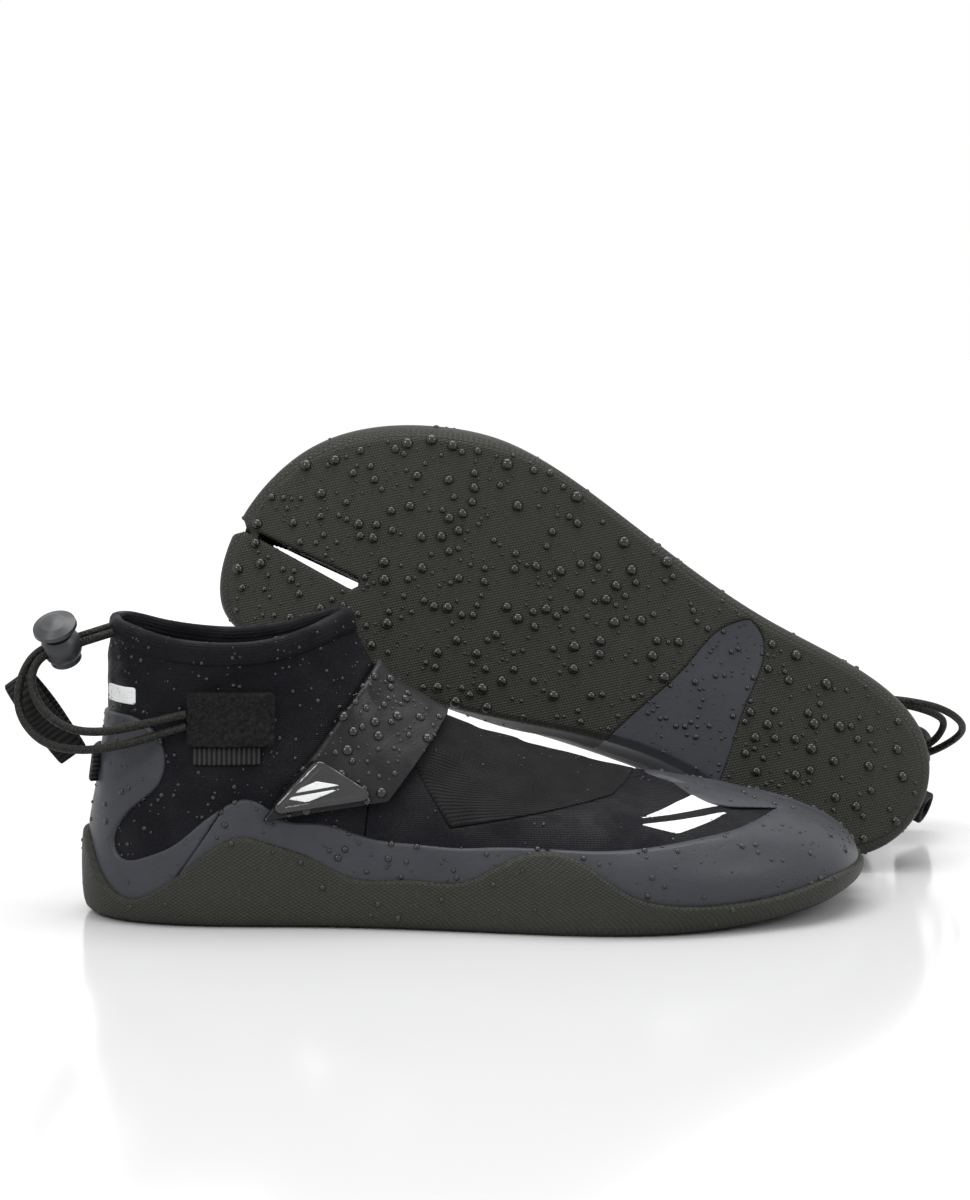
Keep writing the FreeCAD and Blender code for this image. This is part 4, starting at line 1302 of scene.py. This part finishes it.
def add_badge(finishes, shapes, fine):
    """Thick triangular badge with a raised rim and a plain split-diamond mark."""
    zone = both(round_polygon(BADGE_OUTLINE, 2.2), outer_half)

    def rim(points, inset):
        return 0.7 * (1 - smooth_step(1.6, 2.6, inset))

    shapes["badge"] = panel(fine, zone, BADGE_FACE + 0.6, STRAP_FACE + 0.1, 0.8, 0.9, relief=rim)
    mark = both(emblem_zone((83.5, 47.6), 20, 6.4, math.radians(10)), outer_half)
    shapes["badge_mark"] = panel(fine, mark, BADGE_FACE + 0.25, BADGE_FACE + 0.8, 0.25, 0.12)
    for side in SIDES:
        add_shape(side, "badge_gel", shapes["badge"], finishes["badge"], "strap", ["badge"])
        add_shape(side, "badge_mark", shapes["badge_mark"], finishes["white"], "strap")


def box_zone(x, z, radius):
    corners = [(x[0], z[0]), (x[1], z[0]), (x[1], z[1]), (x[0], z[1])]
    return both(round_polygon(corners, radius), outer_half)


def add_trim(finishes, shapes, fine):
    """Cord keeper, its webbing, the heel label, the vamp's print and the pull loop's tab."""
    fuzz = lambda points, inset: 0.30 * waves(points, 31, (1.6, 4.0), 14)
    ribs = lambda points, inset: 0.22 * np.sin(points[:, 0] * (2 * math.pi / 1.7))
    tab_zone = lambda p: np.minimum.reduce([12 - p[:, 0], p[:, 1] + 11, 6 - p[:, 1],
                                            p[:, 2] - 47, 59 - p[:, 2]])
    print_zone = both(emblem_zone((212.5, 37.6), 33, 8.4, math.radians(2)), outer_half)
    shapes["keeper"] = panel(fine, box_zone((40, 71), (62.4, 81), 1.5), -0.4, NEOPRENE_FACE + 0.2, 1.2, 1.0,
                             relief=fuzz)
    tape_zone = box_zone((42, 66), (56.2, 62.2), 0.6)
    label_zone = box_zone((10.5, 21.5), (75.6, 81.4), 0.8)
    shapes["keeper_tape"] = panel(fine, tape_zone, 1.9, NEOPRENE_FACE + 0.2, 0.6, 0.5, relief=ribs)
    shapes["label"] = panel(fine, label_zone, 2.75, NEOPRENE_FACE + 0.1, 0.3, 0.2)
    shapes["print"] = panel(fine, print_zone, NEOPRENE_FACE - 0.18, NEOPRENE_FACE + 0.2, 0.25, 0.1)
    shapes["tab"] = panel(fine, tab_zone, -0.7, RAND_FACE + 0.2, 0.6, 0.5)
    looks = [
        ("keeper_pile", "keeper", "pile", "webbing", ["keeper_patch"]),
        ("keeper_tape", "keeper_tape", "keeper_tape", "webbing", ["keeper_webbing"]),
        ("heel_bar", "label", "white", "label", ["heel_label"]),
        ("vamp_mark", "print", "white", "label", []),
        ("loop_tab_tape", "tab", "tape", "webbing", ["loop_tab"]),
    ]
    for side in SIDES:
        for name, shape, finish, slot, nodes in looks:
            add_shape(side, name, shapes[shape], finishes[finish], "boot", nodes)


def pull_loop_shape(side):
    """Folded tape: a teardrop seen edge on, as wide as the tape."""
    reach = unit(LOOP_REACH[side])
    wide = np.array([reach[2], 0, -reach[0]])
    outward = np.array([0, 1.0, 0])
    half_thick = WEBBING_THICK / 2
    bulge = LOOP_BULGE + half_thick
    near, tip, far = [], LOOP_ROOT + reach * (LOOP_LENGTH + half_thick), []
    for part, width in ((0.3, 0.62), (0.72, 1.0)):
        near.append(LOOP_ROOT + reach * LOOP_LENGTH * part + outward * bulge * width)
        far.append(LOOP_ROOT + reach * LOOP_LENGTH * part - outward * bulge * width)
    centre_line = near + [tip] + far[::-1]
    knots_at = np.array([LOOP_ROOT + reach * 2.2] + centre_line)
    gaps = np.linalg.norm(np.roll(knots_at, -1, axis=0) - knots_at, axis=1)
    knots = np.concatenate([[0], np.cumsum(gaps[:-1])])
    around = 130
    at = np.linspace(0, gaps.sum(), around, endpoint=False)
    line = spline_weights(knots, at, gaps.sum()) @ knots_at
    tangent = np.roll(line, -1, axis=0) - np.roll(line, 1, axis=0)
    tangent /= np.linalg.norm(tangent, axis=1)[:, None]
    normal = np.cross(tangent, wide)
    half_width = WEBBING_WIDTH / 2
    upper = [(-1, 0.25), (-0.94, 0.8), (-0.86, 1), (-0.4, 1), (0, 1), (0.4, 1), (0.86, 1), (0.94, 0.8),
             (1, 0.25)]
    section = upper + [(across, -up) for across, up in upper[::-1]]
    rib = 1 + 0.14 * np.sin(at * (2 * math.pi / 1.9))
    rings = []
    for a, b in section:
        rings.append(line + wide * (half_width * a) + normal * (half_thick * b * rib)[:, None])
    rings.append(rings[0])
    points = np.array(rings)
    across = [place_across * half_width for place_across, _ in section + section[:1]]
    weave = np.column_stack([np.tile(at, len(rings)), np.repeat(across, around)])
    table = np.column_stack([points.reshape(-1, 3), weave])
    data, triangles = welded(table, grid_triangles(len(rings), around))
    return Shape(data[:, :3], triangles, data[:, 3:5])


def tape_along():
    """Tape whose ribs follow the weave's long coordinate."""
    finish = Finish("pull_tape", (0.006, 0.006, 0.006), 0.6, Specular_IOR_Level=0.12)
    along, _, _ = finish.axes(finish.vector("weave"))
    ribs = finish.wave(along, 0.0019)
    threads = finish.noise(finish.vector(), 1500, 2)
    # Painted light and shade: the ribs' tops are painted lighter and the grooves between them darker.
    finish.colour(finish.mix(ribs, (0.003, 0.003, 0.003), (0.013, 0.013, 0.014)))
    finish.relief(ribs, 0.0003, 0.8)
    finish.relief(threads, 0.00012, 0.6)
    return finish.material


def add_loops(shapes):
    tape = tape_along()
    for side in SIDES:
        shape = pull_loop_shape(side)
        add_shape(side, "loop_tape", shape, tape, "loop", ["pull_loop"])


def add_springs(finishes):
    """Coil under each lock button."""
    for side in SIDES:
        centre, along, apart = lock_axes(side)
        press = unit(np.cross(apart, along))
        rings = []
        whole_turn = 2 * math.pi * SPRING_TURNS
        for turn in np.linspace(0, whole_turn, 73):
            outward = math.cos(turn) * along + math.sin(turn) * apart
            rise = SPRING_FOOT + SPRING_WIRE + (SPRING_HEIGHT - 2 * SPRING_WIRE) * turn / whole_turn
            middle = centre + press * rise + outward * SPRING_RADIUS
            rings.append([middle + SPRING_WIRE * (math.cos(a) * outward + math.sin(a) * press)
                          for a in np.linspace(0, 2 * math.pi, 10, endpoint=False)])
        coil = add_shape(side, "spring_coil", sleeve(rings), finishes["steel"], "lock",
                         ["lock_spring"])
        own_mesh(coil)


def dress_cad_nodes(finishes):
    """Procedural finishes for the frame's own pieces that stay in view."""
    looks = {"lock_body": "plastic", "lock_button": "plastic", "lasting_board": "board"}
    for side in SIDES:
        for node, finish in looks.items():
            item = frame["nodes"][f"{side}_{node}"]
            item.data.materials.clear()
            item.data.materials.append(finishes[finish])


# ---- Water ----------------------------------------------------------------------------------

def bead_shape(rings=5, around=10):
    """A squat drop of unit radius, standing on z = 0 and reaching a little below it."""
    squat = 0.78
    points = [(0, 0, squat)]
    for r in range(1, rings + 1):
        angle = math.radians(105) * r / rings
        for a in range(around):
            turn = 2 * math.pi * a / around
            wide = math.sin(angle)
            points.append((wide * math.cos(turn), wide * math.sin(turn), squat * math.cos(angle)))
    points.append((0, 0, -0.2))
    triangles = [(0, 1 + a, 1 + (a + 1) % around) for a in range(around)]
    for r in range(rings - 1):
        for a in range(around):
            low = 1 + r * around + a
            side = 1 + r * around + (a + 1) % around
            triangles.append((low, low + around, side + around))
            triangles.append((low, side + around, side))
    last = 1 + (rings - 1) * around
    triangles += [(last + a, len(points) - 1, last + (a + 1) % around) for a in range(around)]
    return np.array(points), np.array(triangles)


def bead_spots(shape, zone, count, sizes, rng, spacing=1.15):
    """Spread-out places on a shape's outside where a zone holds, with a radius each."""
    p = shape.points[shape.triangles]
    normal = np.cross(p[:, 1] - p[:, 0], p[:, 2] - p[:, 0])
    area = np.linalg.norm(normal, axis=1)
    middle = p.mean(axis=1)
    weight = area * zone(middle, normal / np.maximum(area, 1e-9)[:, None])
    pick = rng.choice(len(area), size=count * 2, p=weight / weight.sum())
    u, v = rng.random((2, len(pick)))
    flip = u + v > 1
    u[flip], v[flip] = 1 - u[flip], 1 - v[flip]
    at = p[pick, 0] + u[:, None] * (p[pick, 1] - p[pick, 0]) + v[:, None] * (p[pick, 2] - p[pick, 0])
    facing = normal[pick] / np.maximum(area[pick], 1e-9)[:, None]
    radius = sizes[0] + (sizes[1] - sizes[0]) * rng.random(len(pick)) ** 3.2
    order = np.argsort(-radius)
    kept = []
    for i in order:
        if len(kept) == count:
            break
        others = np.array(kept, int)
        room = spacing * (radius[others] + radius[i])
        if (np.linalg.norm(at[others] - at[i], axis=1) < room).any():
            continue
        kept.append(i)
    return at[kept], facing[kept], radius[kept]


def bead_cloud(at, facing, radius, rng):
    """One mesh of all the drops, each set square on its surface and slightly out of round."""
    points, triangles = bead_shape()
    clouds, faces = [], []
    for i, (spot, way, size) in enumerate(zip(at, facing, radius)):
        helper = unit(np.cross(way, [0.3, 0.5, 0.8]))
        other = np.cross(way, helper)
        squeeze = 1 + 0.16 * (rng.random(2) - 0.5)
        local = points * [size * squeeze[0], size * squeeze[1], size * (0.82 + 0.2 * rng.random())]
        clouds.append(spot + local[:, :1] * helper + local[:, 1:2] * other + local[:, 2:] * way)
        faces.append(triangles + i * len(points))
    cloud = np.concatenate(clouds)
    return Shape(cloud, np.concatenate(faces), np.zeros((len(cloud), 2)))


def add_water(finishes, shapes):
    """Drops on the boots and on the right boot's strap."""
    rng = np.random.default_rng(12)
    outside = lambda p, n: (n[:, 1] * np.sign(p[:, 1] - 8) > -0.2) * 1.0
    tread = lambda p, n: ((n[:, 2] < -0.9) & (p[:, 2] < 12)) * 1.0
    strap_out = lambda p, n: ((p[:, 1] < -6) & (n[:, 1] < 0.1) & (n @ unit([0.2, -0.6, 0.75]) > 0.2)) * 1.0
    edge = lambda p, n: outside(p, n) * (p[:, 2] > 3)
    side_wall = lambda p, n: edge(p, n) * (n[:, 2] > -0.5)
    plans = {
        "right": [("outsole", side_wall, 150, (0.25, 1.1)),
                  ("lateral_rand", outside, 110, (0.25, 1.3)), ("toe_cap", outside, 300, (0.25, 1.25)),
                  ("heel_cap", outside, 120, (0.25, 1.2)), ("medial_rand", outside, 60, (0.25, 1.2)),
                  ("ankle_lateral", outside, 420, (0.2, 0.85)), ("instep_panel", outside, 60, (0.2, 0.5)),
                  ("vamp", outside, 160, (0.2, 0.7)), ("collar", outside, 120, (0.2, 0.7))],
        "left": [("outsole", tread, 620, (0.4, 2.3)), ("arch_panel", tread, 90, (0.3, 1.3)),
                 ("outsole", edge, 160, (0.3, 1.3)),
                 ("toe_cap", outside, 120, (0.25, 1.2))],
    }
    for side in SIDES:
        spots = [bead_spots(shapes[name], *plan, rng) for name, *plan in plans[side]]
        merged = [np.concatenate(parts) for parts in zip(*spots)]
        cloud = bead_cloud(*merged, rng)
        add_shape(side, "drops", cloud, finishes["dark_water"], "boot")
    spots = bead_spots(shapes["strap"], strap_out, 110, (0.4, 2.0), rng)
    add_shape("right", "strap_drops", bead_cloud(*spots, rng), finishes["dark_water"], "strap")


def main():
    make_camera()
    finishes = make_finishes()
    for side in SIDES:
        for which in ("upper", "lower"):
            add_cord(side, which, finishes)
    make_studio()
    make_floor()
    shapes = {}
    wall = wall_mesh()
    add_soles(finishes, shapes)
    add_rubber(finishes, shapes, wall)
    add_neoprene(finishes, shapes, wall)
    add_collar(finishes, shapes)
    add_inside(finishes, shapes, wall)
    add_slit_walls(finishes, shapes, wall)
    add_strap(finishes, shapes, wall)
    add_badge(finishes, shapes, wall)
    add_trim(finishes, shapes, wall)
    add_loops(shapes)
    add_springs(finishes)
    dress_cad_nodes(finishes)
    add_water(finishes, shapes)


main()
